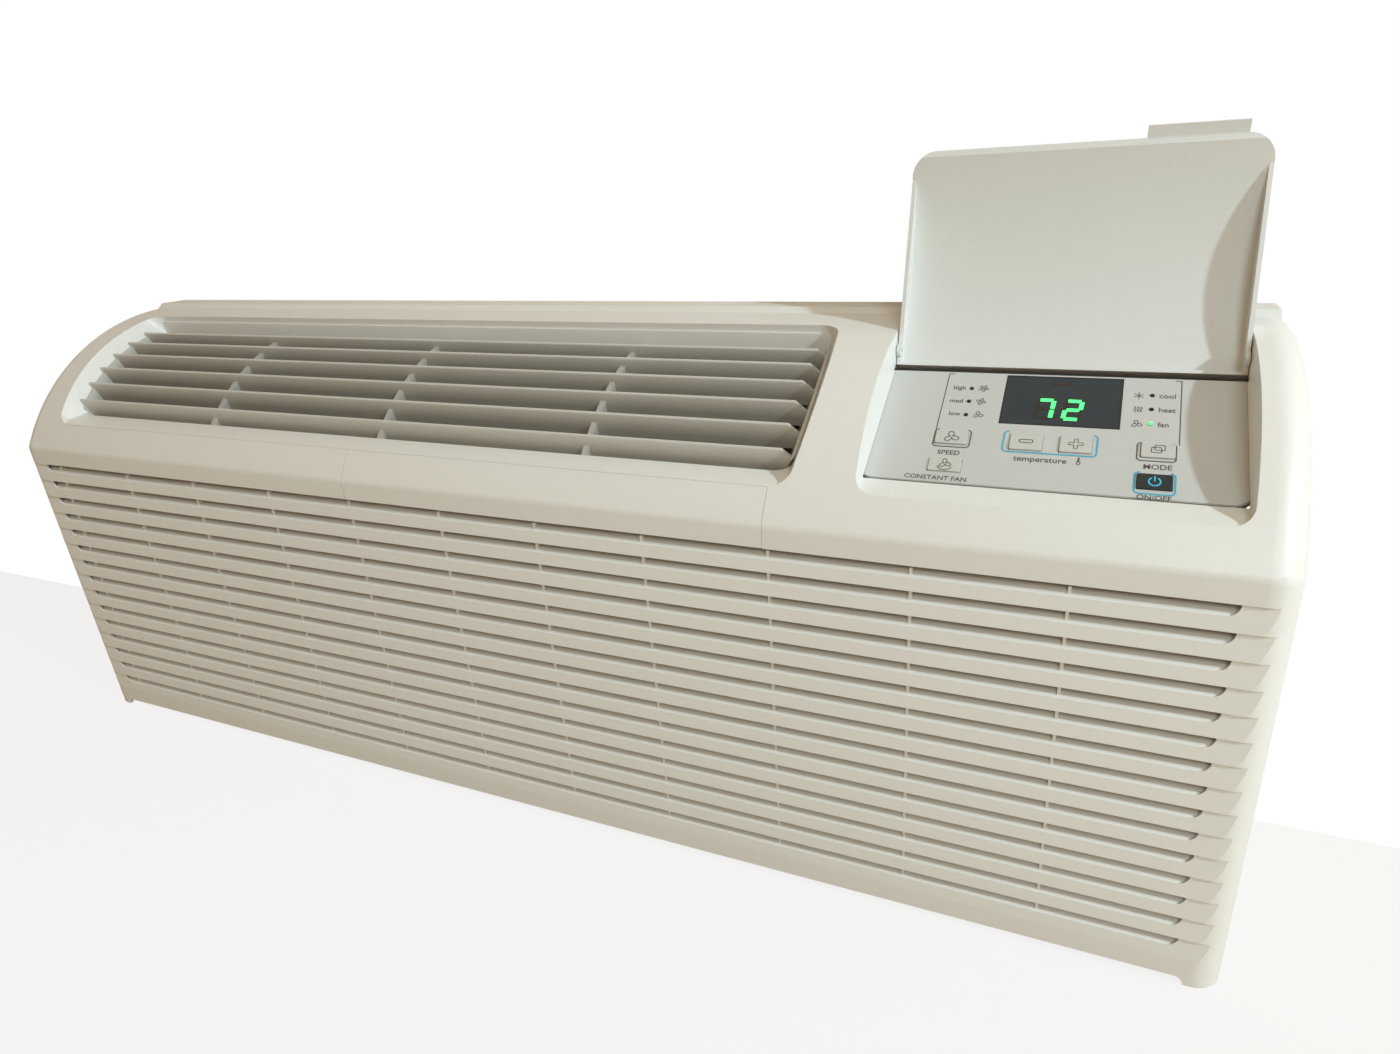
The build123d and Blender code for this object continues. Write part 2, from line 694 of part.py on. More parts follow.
def make_bulkhead():
    """The upright sheet between room side and outdoor side, folded at its foot and top."""
    half = chassis_width / 2 - sheet - 0.5
    wall = block(-half, half, bulkhead_y, bulkhead_y + sheet, sheet, chassis_top)
    foot = block(-half, half, bulkhead_y, bulkhead_y + 16, sheet, 2 * sheet)
    head = block(-half, half, bulkhead_y, bulkhead_y + 20, chassis_top - sheet, chassis_top)
    sides = [block(s * half - (sheet if s > 0 else 0), s * half + (0 if s > 0 else sheet), bulkhead_y,
                   bulkhead_y + 150, sheet, chassis_top - 20) for s in (-1, 1)]
    wall = wall.fuse(foot, head, *sides)
    port = block(port_left, port_right, bulkhead_y - 2, bulkhead_y + 4, port_foot, port_top)
    lines = [rod_y(x, bulkhead_y - 5, bulkhead_y + 6, z, 9) for x, z in ((-495.0, 120.0), (-495.0, 250.0))]
    gland = rod_y(gland_x, bulkhead_y - 5, bulkhead_y + 6, gland_z, 9)
    return wall.cut(port, *lines, gland)


def make_flange(side):
    """Folded flange that carries the unit on the front edge of the wall sleeve."""
    inner = chassis_width / 2 - flange_inset
    a, b = sorted((side * inner, side * flange_reach))
    plate = block(a, b, -2 - sheet, -2, 40, 360)
    c, d = sorted((side * inner, side * (inner + sheet)))
    leg = block(c, d, -2 - sheet, bulkhead_y, 40, 360)
    holes = [rod_y(side * flange_hole_x, -10, 5, z, flange_hole_radius)
             for z in (flange_hole_low, flange_hole_high)]
    holes += [rod_y(side * flange_hole_x, -10, 5, z, screw_radius + screw_play) for z in (screw_low, screw_high)]
    return (plate + leg).cut(*holes)


def make_top_brace():
    return block(-chassis_width / 2 + 6, chassis_width / 2 - 6, bulkhead_y + 20.3, condenser_front - 8,
                 chassis_top - sheet, chassis_top) - \
        block(-300, 420, bulkhead_y + 50, condenser_front - 40, chassis_top - 5, chassis_top + 5)


def make_liner():
    """Foam pad on the room side of the bulkhead, behind the scroll."""
    return block(scroll_left, scroll_right, bulkhead_y - 10, bulkhead_y - 0.2, 70, 350)


def coil_fins(left, right, front, depth, foot, top, notch):
    """A fin pack, with open grooves that mark its rows of fins."""
    body = block(left, right, front, front + depth, foot, top)
    count = int((right - left) // notch)
    grooves = [block(left + notch * (i + 0.75), left + notch * (i + 1.0), front - 1, front + 1.6, foot + 4,
                     top - 4) for i in range(count)]
    return body.cut(*grooves)


def coil_rows(foot, top):
    count = int((top - foot) // tube_pitch)
    start = (foot + top) / 2 - (count - 1) * tube_pitch / 2
    return [start + i * tube_pitch for i in range(count)]


def return_bend():
    """Half a turn of tube in the XZ plane, bulging to +X."""
    section = Plane.YZ * (Pos(0, tube_pitch / 2) * RegularPolygon(tube_radius, tube_sides))
    return revolve(section, Axis.Y, 180)


def end_bends(x, side, y_rows, rows):
    """Return bends that join the tubes in pairs, outside one end of the pack."""
    bends = []
    for n, y in enumerate(y_rows):
        first = n % 2 if side > 0 else (n + 1) % 2
        for i in range(first, len(rows) - 1, 2):
            middle = Pos(x, y, (rows[i] + rows[i + 1]) / 2)
            bends.append(middle * Rot(Z=0 if side > 0 else 180) * return_bend())
    return bends


def make_evaporator_tubes():
    rows = coil_rows(coil_foot, coil_top)
    y_rows = (coil_front + 12, coil_front + coil_depth - 12)
    bends = end_bends(coil_left - 0.2, -1, y_rows, rows) + end_bends(coil_right + 0.2, 1, y_rows, rows)
    return Compound(bends)


def make_condenser_tubes():
    rows = coil_rows(condenser_foot, condenser_top)
    y_rows = (condenser_front + 12, condenser_front + condenser_depth - 12)
    return Compound(end_bends(-condenser_half - 0.2, -1, y_rows, rows)
                    + end_bends(condenser_half + 0.2, 1, y_rows, rows))


def make_drain_tray():
    tray = sheet_tray(coil_left - 8, coil_right + 8, coil_front - 8, coil_front + coil_depth + 8, 8, 22)
    feet = [block(x - 8, x + 8, coil_front + 4, coil_front + 30, sheet, 8.2) for x in (-420.0, -130.0, 160.0)]
    posts = [block(x, x + 8, coil_front + 4, coil_front + coil_depth - 4, 8, coil_foot)
             for x in (coil_left + 12, coil_right - 20)]
    return tray.fuse(*feet, *posts)


def scroll_section():
    """The rear wall that wraps the wheel from below and rises to the grille, with the front cut-off."""
    gap = 7.0
    start_y, start_z = blower_y - 26, blower_z - blower_radius - gap - 6
    low = (blower_y + 8, blower_z - blower_radius - gap - 4)
    back = (blower_y + blower_radius + 14, blower_z + 12)
    head = (-67.0, 366.0)
    wall = scroll_wall
    outer = ThreePointArc((start_y, start_z - wall), (blower_y + 42, blower_z - 50 - wall),
                          (back[0] + wall, back[1])) \
        + ThreePointArc((back[0] + wall, back[1]), (8.0 + wall, 300.0), (head[0] + wall, head[1] + wall))
    inner = ThreePointArc(head, (8.0, 300.0), back) \
        + ThreePointArc(back, (blower_y + 42 - 1, blower_z - 50), (start_y, start_z))
    section = make_face(outer + Line((head[0] + wall, head[1] + wall), head) + inner
                        + Line((start_y, start_z), (start_y, start_z - wall)))
    return section, low


def make_scroll():
    section, low = scroll_section()
    rear = prism_x(section, scroll_left, scroll_right)
    cut_y, cut_z = blower_y - 48, blower_z + blower_radius - 8
    nose = polygon((cut_y, cut_z), (cut_y - 9, cut_z - 2), (-164, 300), (-164, 303), (-154, 303), (cut_y + 1, cut_z + 6))
    front = prism_x(nose, scroll_left, scroll_right)
    cheek = polygon((-160, 302), (cut_y - 8, cut_z - 2), (blower_y - 58, blower_z), (blower_y - 30, 130),
                    (blower_y + 40, 140), (28, 190), (28, 240), (10, 302), (-67, 367), (-100, 352))
    cheeks = [prism_x(cheek, scroll_left - 3, scroll_left), prism_x(cheek, scroll_right, scroll_right + 3)]
    body = rear.fuse(front, *cheeks)
    legs = [block(x - 3, x + 3, -60, 20, sheet, 146) for x in (scroll_left + 20, scroll_right - 20)]
    wheel_room = rod_x(scroll_left, scroll_right, blower_y, blower_z, blower_radius + 6)
    body = body.fuse(*legs).cut(wheel_room)
    shaft_hole = rod_x(scroll_right - 1, scroll_right + 4, blower_y, blower_z, 16)
    bearing_hole = rod_x(scroll_left - 4, scroll_left + 1, blower_y, blower_z, 13)
    return body.cut(shaft_hole, bearing_hole)


def make_blower_wheel():
    """Cross-flow wheel: forward-curved blades between thin discs."""
    outer, inner = blower_radius, blower_radius - blade_depth
    blade = make_face(ThreePointArc((inner, 0), (inner + blade_depth * 0.45, 2.6), (outer - 0.6, 7.6))
                      + Line((outer - 0.6, 7.6), (outer - 1.0, 8.8))
                      + ThreePointArc((outer - 1.0, 8.8), (inner + blade_depth * 0.42, 3.9), (inner, 1.1))
                      + Line((inner, 1.1), (inner, 0)))
    step = 360.0 / blower_blades
    blades = [prism_x(Rot(0, 0, i * step) * blade, blower_left, blower_right) for i in range(blower_blades)]
    spacing = (blower_right - blower_left - 3) / (blower_discs - 1)
    discs = []
    for i in range(blower_discs):
        x = blower_left + i * spacing
        ring = Circle(outer) if i in (0, blower_discs - 1) else Circle(outer) - Circle(inner - 3)
        discs.append(prism_x(ring, x, x + 3))
    hub = rod_x(blower_right - 22, blower_right, 0, 0, 15)
    wheel = discs[0].fuse(*discs[1:], hub, *blades)
    shaft_room = rod_x(blower_right - 24, blower_right + 2, 0, 0, blower_shaft)
    stub = rod_x(scroll_left - 8, blower_left + 1, 0, 0, blower_shaft)
    return Pos(0, blower_y, blower_z) * (wheel.cut(shaft_room) + stub)


def make_blower_shaft():
    """Motor shaft that drives the wheel; it turns with it."""
    return rod_x(blower_right - 24, motor_left + 18, blower_y, blower_z, blower_shaft)


def make_bearing():
    """Rubber-mounted bush at the free end of the wheel."""
    x = scroll_left
    body = rod_x(x - 7, x - 3.1, blower_y, blower_z, 20) + rod_x(x - 3.3, x, blower_y, blower_z, 12.8)
    return body - rod_x(x - 20, x + 10, blower_y, blower_z, blower_shaft + 0.06)


def make_indoor_motor():
    body = rod_x(motor_left, motor_right, blower_y, blower_z, motor_radius)
    body = fillet([e for e in body.edges().filter_by(GeomType.CIRCLE)], 6)
    belt = rod_x((motor_left + motor_right) / 2 - 6, (motor_left + motor_right) / 2 + 6, blower_y, blower_z,
                 motor_radius + 2)
    boss = rod_x(motor_left - 4, motor_left + 2, blower_y, blower_z, 15)
    room = rod_x(motor_left - 6, motor_left + 22, blower_y, blower_z, blower_shaft + 0.06)
    return (body + belt + boss) - room


def make_indoor_motor_stand():
    x = (motor_left + motor_right) / 2
    post = block(x - 14, x + 14, blower_y - 30, blower_y + 30, sheet, blower_z - 20)
    post -= block(x - 11, x + 11, blower_y - 27, blower_y + 27, 2 * sheet, blower_z + 10)
    return post - rod_x(x - 20, x + 20, blower_y, blower_z, motor_radius + 2.1)


def make_heater():
    """Electric heater: a rack of sheathed rods across the room side of the wheel."""
    z_rows = (160.0, 180.0, 200.0)
    y = coil_front + coil_depth + 9
    rods = [rod_x(coil_left + 4, coil_right - 4, y, z, 3.2) for z in z_rows]
    plates = [block(x, x + 2, y - 6, y + 6, 150, 210) for x in (-474.0, -130.0, 216.0)]
    rack = plates[0].fuse(*plates[1:], *rods)
    return rack


def make_control_box():
    """Folded steel box with an open front, which the wiring cover closes."""
    outer = block(box_left, box_right, box_front, box_rear, box_foot, box_top)
    hollow = block(box_left + sheet, box_right - sheet, box_front - 1, box_rear - sheet, box_foot + sheet,
                   box_top - sheet)
    knock = rod_y(box_right - 40, box_rear - 4, box_rear + 2, box_foot + 40, 8)
    return (outer - hollow) - knock


def make_box_cover():
    return block(box_left + 0.3, box_right - 0.3, box_front - sheet, box_front, box_foot + 0.3, box_top - 0.3)


def make_box_stand():
    legs = [block(x, x + 12, y, y + 12, sheet, box_foot)
            for x in (box_left + 2, box_right - 14) for y in (box_front + 4, box_rear - 16)]
    return Compound(legs)


def make_control_board():
    y = box_rear - 22
    board = block(box_left + 12, box_right - 12, y, y + 1.6, box_foot + 20, box_top - 20)
    parts = [block(x, x + w, y - h, y + 0.2, z, z + d) for x, z, w, d, h in (
        (350, 110, 26, 20, 18), (384, 110, 26, 20, 18), (418, 110, 26, 20, 18), (350, 170, 40, 14, 9),
        (410, 175, 16, 30, 12), (450, 160, 22, 46, 4), (360, 230, 60, 12, 10), (440, 232, 30, 16, 14))]
    posts = [rod_y(x, y + 1.4, box_rear - sheet, z, 3)
             for x in (box_left + 20, box_right - 20) for z in (box_foot + 28, box_top - 28)]
    return board.fuse(*parts, *posts)


def make_capacitor():
    body = rod_z(box_left + 40, box_front + 50, box_foot + sheet, box_foot + 92, 24)
    tops = [block(box_left + 40 + dx - 3, box_left + 40 + dx + 3, box_front + 48, box_front + 52, box_foot + 91,
                  box_foot + 100) for dx in (-10, 10)]
    return fillet(body.edges().filter_by(GeomType.CIRCLE), 2).fuse(*tops)


def make_transformer():
    x, y, z = box_right - 66, box_front + 28, box_foot + sheet
    core = block(x, x + 46, y, y + 40, z + 3, z + 41)
    coil = fillet((block(x + 10, x + 36, y - 8, y + 48, z + 8, z + 36)).edges().filter_by(Axis.X), 6)
    foot = block(x - 8, x + 54, y + 4, y + 36, z, z + 3.2)
    return core.fuse(coil, foot)


def make_cord_gland():
    x, z = gland_x, gland_z
    body = rod_y(x, bulkhead_y - 9, bulkhead_y - 0.1, z, 12) + rod_y(x, bulkhead_y - 0.3, bulkhead_y + 8, z, 8.8)
    return body - rod_y(x, bulkhead_y - 12, bulkhead_y + 12, z, 4.2)


def make_vent_frame():
    """Moulded frame round the fresh-air port, with ears for the flap."""
    y0, y1 = bulkhead_y - 3, bulkhead_y - 0.1
    frame = block(port_left - 8, port_right + 8, y0, y1, port_foot - 8, port_top + 10) - \
        block(port_left + 3, port_right - 3, y0 - 1, y1 + 1, port_foot + 3, port_top - 1)
    ears = [block(a, a + 3, y0 - 8, y0 + 0.2, port_top - 3, port_top + 7) for a in (port_left - 6, port_right + 3)]
    holes = [rod_x(a - 1, a + 4, y0 - 4, port_top + 2, 1.55) for a in (port_left - 6, port_right + 3)]
    return frame.fuse(*ears).cut(*holes)


def make_vent_flap():
    y = bulkhead_y - 3
    plate = block(port_left - 1.5, port_right + 1.5, y - 1.2 - flap_thickness, y - 1.2, port_foot - 1, port_top + 2)
    barrel = rod_x(port_left - 1.5, port_right + 1.5, y - 4, port_top + 2, 2.8)
    pins = rod_x(port_left - 6, port_right + 6, y - 4, port_top + 2, 1.5)
    return plate + barrel + pins


def make_vent_lever():
    """Pull rod with a flat grip; its end stops just short of the flap."""
    y_end = bulkhead_y - 8
    rod = block(lever_x - 4, lever_x + 4, chassis_front + 8, y_end, lever_z - 1.2, lever_z + 1.2)
    grip = block(lever_x - grip_half, lever_x + grip_half, chassis_front + 6, chassis_front + 9,
                 lever_z - grip_drop, lever_z + grip_rise)
    grip = fillet(grip.edges().filter_by(Axis.Y), 3)
    return rod + grip


def make_lever_guides():
    guides = []
    for y in (-120.0, -20.0):
        post = block(lever_x - 8, lever_x + 8, y, y + 5, sheet, lever_z + 5)
        guides.append(post - block(lever_x - 4.4, lever_x + 4.4, y - 1, y + 6, lever_z - 1.6, lever_z + 1.6))
    return Compound(guides)


def make_shroud():
    """Moulded fan shroud with a rounded intake collar."""
    plate = block(-chassis_width / 2 + 2, chassis_width / 2 - 2, shroud_y, shroud_y + 3, sheet, chassis_top - 4)
    collar = rod_y(fan_x, shroud_y - 46, shroud_y + 1, fan_z, orifice_radius + 3)
    bell = Pos(fan_x, shroud_y, fan_z) * Rot(X=90) * Torus(orifice_radius + 8, 8)
    bell &= block(-400, 400, shroud_y - 9, shroud_y + 1, sheet + 0.3, chassis_top - 4)
    hole = rod_y(fan_x, shroud_y - 60, shroud_y + 20, fan_z, orifice_radius)
    edge = chassis_width / 2 - 3
    sides = [block(side * edge - 1, side * edge + 1, shroud_y, condenser_front + condenser_depth, sheet,
                   chassis_top - 8) for side in (-1, 1)]
    lines = [rod_y(x, shroud_y - 1, shroud_y + 4, z, 9.5) for x, z in ((-500.0, 330.0), (-503.0, 60.0))]
    return (plate + collar + bell).fuse(*sides).cut(hole, *lines)


def make_outdoor_fan():
    """Propeller with a slinger ring that lifts condensate on to the coil."""
    blade_root = Rot(Z=48) * Rectangle(44, 3)
    blade_tip = Rot(Z=24) * Rectangle(92, 2.4)
    middle = Rot(Z=33) * Rectangle(74, 2.8)
    radii = (fan_hub - 4, (fan_hub + fan_radius) / 2, fan_radius - 1)
    planes = [Plane(origin=(0, 0, r), x_dir=(1, 0, 0), z_dir=(0, 0, 1)) for r in radii]
    blade = loft([planes[0] * blade_root, planes[1] * middle, planes[2] * blade_tip])
    blades = [Rot(Y=i * 360 / fan_blades) * blade for i in range(fan_blades)]
    middle_y = fan_front + fan_depth / 2
    hub = Rot(X=90) * Cylinder(fan_hub, fan_depth * 0.8)
    ring = Rot(X=90) * (Cylinder(fan_radius + 2, fan_depth * 0.36) - Cylinder(fan_radius - 2.5, fan_depth))
    fan = hub.fuse(ring, *blades)
    keep = Rot(X=90) * Cylinder(fan_radius + 2, fan_depth + 40)
    fan = fan & keep
    bore = Rot(X=90) * Cylinder(outdoor_shaft, fan_depth * 2)
    nose = Pos(0, 0, 0)
    return nose * Pos(fan_x, middle_y, fan_z) * (fan - bore)


def make_outdoor_shaft():
    return rod_y(fan_x, outdoor_motor_rear - 20, fan_front + fan_depth + 2, fan_z, outdoor_shaft)


def make_outdoor_motor():
    body = rod_y(fan_x, outdoor_motor_front, outdoor_motor_rear, fan_z, outdoor_motor_radius)
    body = fillet(body.edges().filter_by(GeomType.CIRCLE), 9)
    middle = (outdoor_motor_front + outdoor_motor_rear) / 2
    belt = rod_y(fan_x, middle - 9, middle + 9, fan_z, outdoor_motor_radius + 2.5)
    boss = rod_y(fan_x, outdoor_motor_rear - 2, outdoor_motor_rear + 5, fan_z, 17)
    room = rod_y(fan_x, outdoor_motor_rear - 24, outdoor_motor_rear + 8, fan_z, outdoor_shaft + 0.06)
    return (body + belt + boss) - room


def make_motor_bracket():
    """Pressed bracket that carries the outdoor motor from the base pan."""
    middle = (outdoor_motor_front + outdoor_motor_rear) / 2
    plate = polygon((fan_x - 95, 2 * sheet), (fan_x + 95, 2 * sheet), (fan_x + 52, fan_z), (fan_x - 52, fan_z))
    webs = [prism_y(plate, middle + a, middle + a + 2.5) for a in (-9.0, 6.5)]
    foot = block(fan_x - 100, fan_x + 100, middle - 26, middle + 26, sheet, 2 * sheet + 0.2)
    bracket = foot.fuse(*webs)
    return bracket - rod_y(fan_x, middle - 40, middle + 40, fan_z, outdoor_motor_radius + 2.6)


def make_compressor():
    """Welded steel can: domed ends, a seam band and a three-legged foot."""
    r, foot, top = comp_radius, comp_foot + grommet_height, comp_top
    profile = make_face(Line((0, foot), (r - 26, foot)) + ThreePointArc((r - 26, foot), (r - 7, foot + 8), (r, foot + 26))
                        + Line((r, foot + 26), (r, top - 44))
                        + ThreePointArc((r, top - 44), (r * 0.72, top - 12), (0, top)) + Line((0, top), (0, foot)))
    can = revolve(Plane.XZ * profile, Axis.Z)
    seam = Pos(0, 0, top - 50) * Cylinder(r + 2.5, 5)
    plate = Circle(34)
    for i in range(3):
        arm = Rot(0, 0, 90 + i * 120) * (Pos(comp_bolt_circle / 2, 0) * Rectangle(comp_bolt_circle, 36))
        tip = Rot(0, 0, 90 + i * 120) * (Pos(comp_bolt_circle, 0) * Circle(18))
        plate = plate + arm + tip
    foot_plate = Pos(0, 0, foot - 3) * extrude(plate, 3.4)
    lugs = [Pos(dx, dy, top - 8) * Cylinder(5, 36) for dx, dy in ((14, 10), (-16, -6))]
    lug = Pos(22, -22, top - 22) * Cylinder(11, 26)
    holes = [Rot(0, 0, 90 + i * 120) * Pos(comp_bolt_circle, 0, foot) * Cylinder(7.2, 20) for i in range(3)]
    return Pos(comp_x, comp_y, 0) * can.fuse(seam, foot_plate, lug, *lugs).cut(*holes)


def comp_bolts():
    points = []
    for i in range(3):
        a = radians(90 + i * 120)
        points.append((comp_x + comp_bolt_circle * cos(a), comp_y + comp_bolt_circle * sin(a)))
    return points


def make_grommets():
    """Ribbed rubber feet between the compressor and the pan."""
    foot = comp_foot + grommet_height - 3
    bodies = []
    for x, y in comp_bolts():
        body = rod_z(x, y, sheet, foot, 14) + rod_z(x, y, foot - 0.2, foot + 3.6, 7.0)
        body += rod_z(x, y, foot + 3.5, foot + 7, 11)
        groove = rod_z(x, y, foot - 16, foot - 12, 20) - rod_z(x, y, foot - 17, foot - 11, 11)
        bodies.append(body - groove - rod_z(x, y, 0, foot + 12, 4.1))
    return Compound(bodies)


def make_studs():
    """Studs and nuts that hold the compressor down."""
    foot = comp_foot + grommet_height - 3
    studs = []
    for x, y in comp_bolts():
        nut = Pos(x, y, foot + 7.1) * extrude(RegularPolygon(7.5, 6), 6)
        studs.append(rod_z(x, y, sheet, foot + 20, 4.0) + nut)
    return Compound(studs)


def make_terminal_cover():
    cap = Pos(comp_x + 40, comp_y + 36, comp_top + 1) * Cylinder(18, 34)
    cap = fillet(cap.faces().sort_by(Axis.Z)[-1].edges(), 5)
    return cap - make_compressor()


def make_accumulator():
    x, y = comp_x - 100, comp_y - 50
    body = rod_z(x, y, 90, 226, 26)
    body = fillet(body.edges().filter_by(GeomType.CIRCLE), 12)
    strap = rod_z(x, y, 150, 162, 27.2)
    arm = block(x + 20, comp_x - 58, y + 6, y + 20, 151, 161)
    arm &= rod_z(x, y, 140, 170, 200)
    can = Pos(comp_x, comp_y, 0) * Cylinder(comp_radius + 0.2, 600)
    return (body + strap + arm) - can


def make_suction_tube():
    x, y = comp_x - 100, comp_y - 50
    return tube_along([(x, y, 226.1), (x, y, 262), (-495, y, 262), (-495, 62, 262), (-495, 62, 250),
                       (-495, -118, 250)], 5.5, 5.9)


def make_discharge_tube():
    x, y, z = comp_x + 14, comp_y + 10, comp_top + 10.1
    return tube_along([(x, y, z), (x, y, 330), (x, 262, 330), (-500, 262, 330), (-500, 300, 330)], 4.5, 12)


def make_liquid_tube():
    return tube_along([(-503, 250, 60), (-503, 75, 60), (-495, 75, 70), (-495, 75, 120), (-495, -118, 120)],
                      3.2, 5)


def make_drier():
    body = rod_y(-503, 252, 300, 60, 8)
    return fillet(body.edges().filter_by(GeomType.CIRCLE), 3.5)


def make_sleeve_screws():
    """Four screws through the flanges into the wall sleeve, heads only where they show."""
    screws = []
    for side in (-1, 1):
        for z in (screw_low, screw_high):
            head = rod_y(side * flange_hole_x, -2 - sheet - 3.2, -2 - sheet - 0.05, z, 4.6)
            shank = rod_y(side * flange_hole_x, -2 - sheet - 0.2, 12, z, screw_radius)
            screws.append(head + shank)
    return Compound(screws)


def build_nodes():
    outer, inner = cover_block(0), cover_block(cover_wall)
    nodes = {
        "cover_shell": make_cover_shell(),
        "discharge_grille": make_grille(),
        "control_door": turned_open(door_closed()),
        "door_pins": make_door_pins(),
        "filter_left": make_filter(cap_left, cap_middle, outer, inner),
        "filter_right": make_filter(cap_middle, cap_right, outer, inner),
        "filter_mesh_left": make_filter_mesh(cap_left, cap_middle),
        "filter_mesh_right": make_filter_mesh(cap_middle, cap_right),
        "control_panel": make_control_panel(),
        "panel_overlay": make_overlay(),
        "display_window": make_display_window(),
        "display_module": make_display_module(),
        "status_lamps": make_lamps(),
        "key_board": make_key_board(),
        "base_pan": make_base_pan(),
        "bulkhead": make_bulkhead(),
        "mounting_flanges": Compound([make_flange(-1), make_flange(1)]),
        "sleeve_screws": make_sleeve_screws(),
        "top_brace": make_top_brace(),
        "foam_liner": make_liner(),
        "evaporator_fins": coil_fins(coil_left, coil_right, coil_front, coil_depth, coil_foot, coil_top, 14.0),
        "evaporator_tubes": make_evaporator_tubes(),
        "drain_tray": make_drain_tray(),
        "blower_scroll": make_scroll(),
        "blower_wheel": make_blower_wheel(),
        "blower_shaft": make_blower_shaft(),
        "blower_bearing": make_bearing(),
        "indoor_motor": make_indoor_motor(),
        "indoor_motor_stand": make_indoor_motor_stand(),
        "electric_heater": make_heater(),
        "control_box": make_control_box(),
        "control_box_cover": make_box_cover(),
        "control_box_stand": make_box_stand(),
        "control_board": make_control_board(),
        "run_capacitor": make_capacitor(),
        "transformer": make_transformer(),
        "cord_gland": make_cord_gland(),
        "vent_frame": make_vent_frame(),
        "vent_flap": make_vent_flap(),
        "vent_lever": make_vent_lever(),
        "lever_guides": make_lever_guides(),
        "fan_shroud": make_shroud(),
        "condenser_fins": coil_fins(-condenser_half, condenser_half, condenser_front, condenser_depth,
                                    condenser_foot, condenser_top, 20.0),
        "condenser_tubes": make_condenser_tubes(),
        "outdoor_fan": make_outdoor_fan(),
        "outdoor_shaft": make_outdoor_shaft(),
        "outdoor_motor": make_outdoor_motor(),
        "motor_bracket": make_motor_bracket(),
        "compressor": make_compressor(),
        "compressor_grommets": make_grommets(),
        "compressor_studs": make_studs(),
        "terminal_cover": make_terminal_cover(),
        "accumulator": make_accumulator(),
        "refrigerant_tubes": Compound([make_suction_tube(), make_discharge_tube(), make_liquid_tube(), make_drier()]),
    }
    for name in buttons:
        nodes[name] = make_button(name)
    return nodes


def main():
    os.makedirs("parts", exist_ok=True)
    for node_name, solid in build_nodes().items():
        export_step(solid, f"parts/{node_name}.step")


if __name__ == "__main__":
    main()
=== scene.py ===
import bpy
import numpy as np
from mathutils import Matrix, Vector


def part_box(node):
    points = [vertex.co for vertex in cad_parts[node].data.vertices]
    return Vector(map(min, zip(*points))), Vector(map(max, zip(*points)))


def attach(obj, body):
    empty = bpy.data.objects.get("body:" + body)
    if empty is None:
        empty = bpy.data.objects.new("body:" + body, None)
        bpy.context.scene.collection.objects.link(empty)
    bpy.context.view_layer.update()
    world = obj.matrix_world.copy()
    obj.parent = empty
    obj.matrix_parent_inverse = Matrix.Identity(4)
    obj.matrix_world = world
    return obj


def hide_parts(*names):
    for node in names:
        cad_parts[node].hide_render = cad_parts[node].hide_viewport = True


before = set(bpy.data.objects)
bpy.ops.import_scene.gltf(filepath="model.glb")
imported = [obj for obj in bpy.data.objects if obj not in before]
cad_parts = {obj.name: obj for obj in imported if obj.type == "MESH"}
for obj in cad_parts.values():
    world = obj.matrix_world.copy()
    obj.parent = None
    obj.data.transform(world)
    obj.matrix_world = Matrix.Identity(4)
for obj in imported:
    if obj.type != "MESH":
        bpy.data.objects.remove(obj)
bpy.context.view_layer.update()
print("frame loaded:", len(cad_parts), "nodes")

# Camera, solved from the photograph: place in metres, turns in degrees, focal length in pixels
camera = {
    "place": (0.4260, -0.7112, 0.5004),
    "yaw": -24.925,
    "pitch": 20.917,
    "roll": 3.090,
    "focalPixels": 901.0,
    "imageWidth": 1400,
}


def addCamera(c):
    yaw, pitch, roll = np.radians([c["yaw"], c["pitch"], c["roll"]])
    ahead = np.array([np.sin(yaw) * np.cos(pitch), np.cos(yaw) * np.cos(pitch), -np.sin(pitch)])
    level = np.array([np.cos(yaw), -np.sin(yaw), 0.0])
    down = np.cross(ahead, level)
    right = np.cos(roll) * level + np.sin(roll) * down
    below = -np.sin(roll) * level + np.cos(roll) * down
    data = bpy.data.cameras.new("photoCamera")
    data.sensor_width = 36.0
    data.lens = 36.0 * c["focalPixels"] / c["imageWidth"]
    data.clip_start = 0.01
    eye = bpy.data.objects.new("photoCamera", data)
    bpy.context.scene.collection.objects.link(eye)
    turn = Matrix((right, -below, -ahead)).transposed().to_4x4()
    eye.matrix_world = Matrix.Translation(Vector(c["place"])) @ turn
    bpy.context.scene.camera = eye


addCamera(camera)
print("camera placed")


# Materials: one base shader, with grain and zinc spangle from shared groups
def nodeGroup(name, inputs, outputs):
    group = bpy.data.node_groups.new(name, "ShaderNodeTree")
    for label, kind, value in inputs:
        socket = group.interface.new_socket(name=label, in_out="INPUT", socket_type=kind)
        socket.default_value = value
    for label, kind in outputs:
        group.interface.new_socket(name=label, in_out="OUTPUT", socket_type=kind)
    return group, group.nodes.new("NodeGroupInput"), group.nodes.new("NodeGroupOutput")


def makeGrainGroup():
    # two sizes of noise on object coordinates: fine pebbling for the bump, slow drift for the colour
    group, given, result = nodeGroup(
        "skinGrain",
        [("Fine", "NodeSocketFloat", 900.0), ("Slow", "NodeSocketFloat", 6.0)],
        [("Pebble", "NodeSocketFloat"), ("Drift", "NodeSocketFloat")])
    place = group.nodes.new("ShaderNodeTexCoord")
    for label, detail, outlet in (("Fine", 2.0, "Pebble"), ("Slow", 3.0, "Drift")):
        noise = group.nodes.new("ShaderNodeTexNoise")
        noise.inputs["Detail"].default_value = detail
        group.links.new(place.outputs["Object"], noise.inputs["Vector"])
        group.links.new(given.outputs[label], noise.inputs["Scale"])
        group.links.new(noise.outputs["Fac"], result.inputs[outlet])
    return group


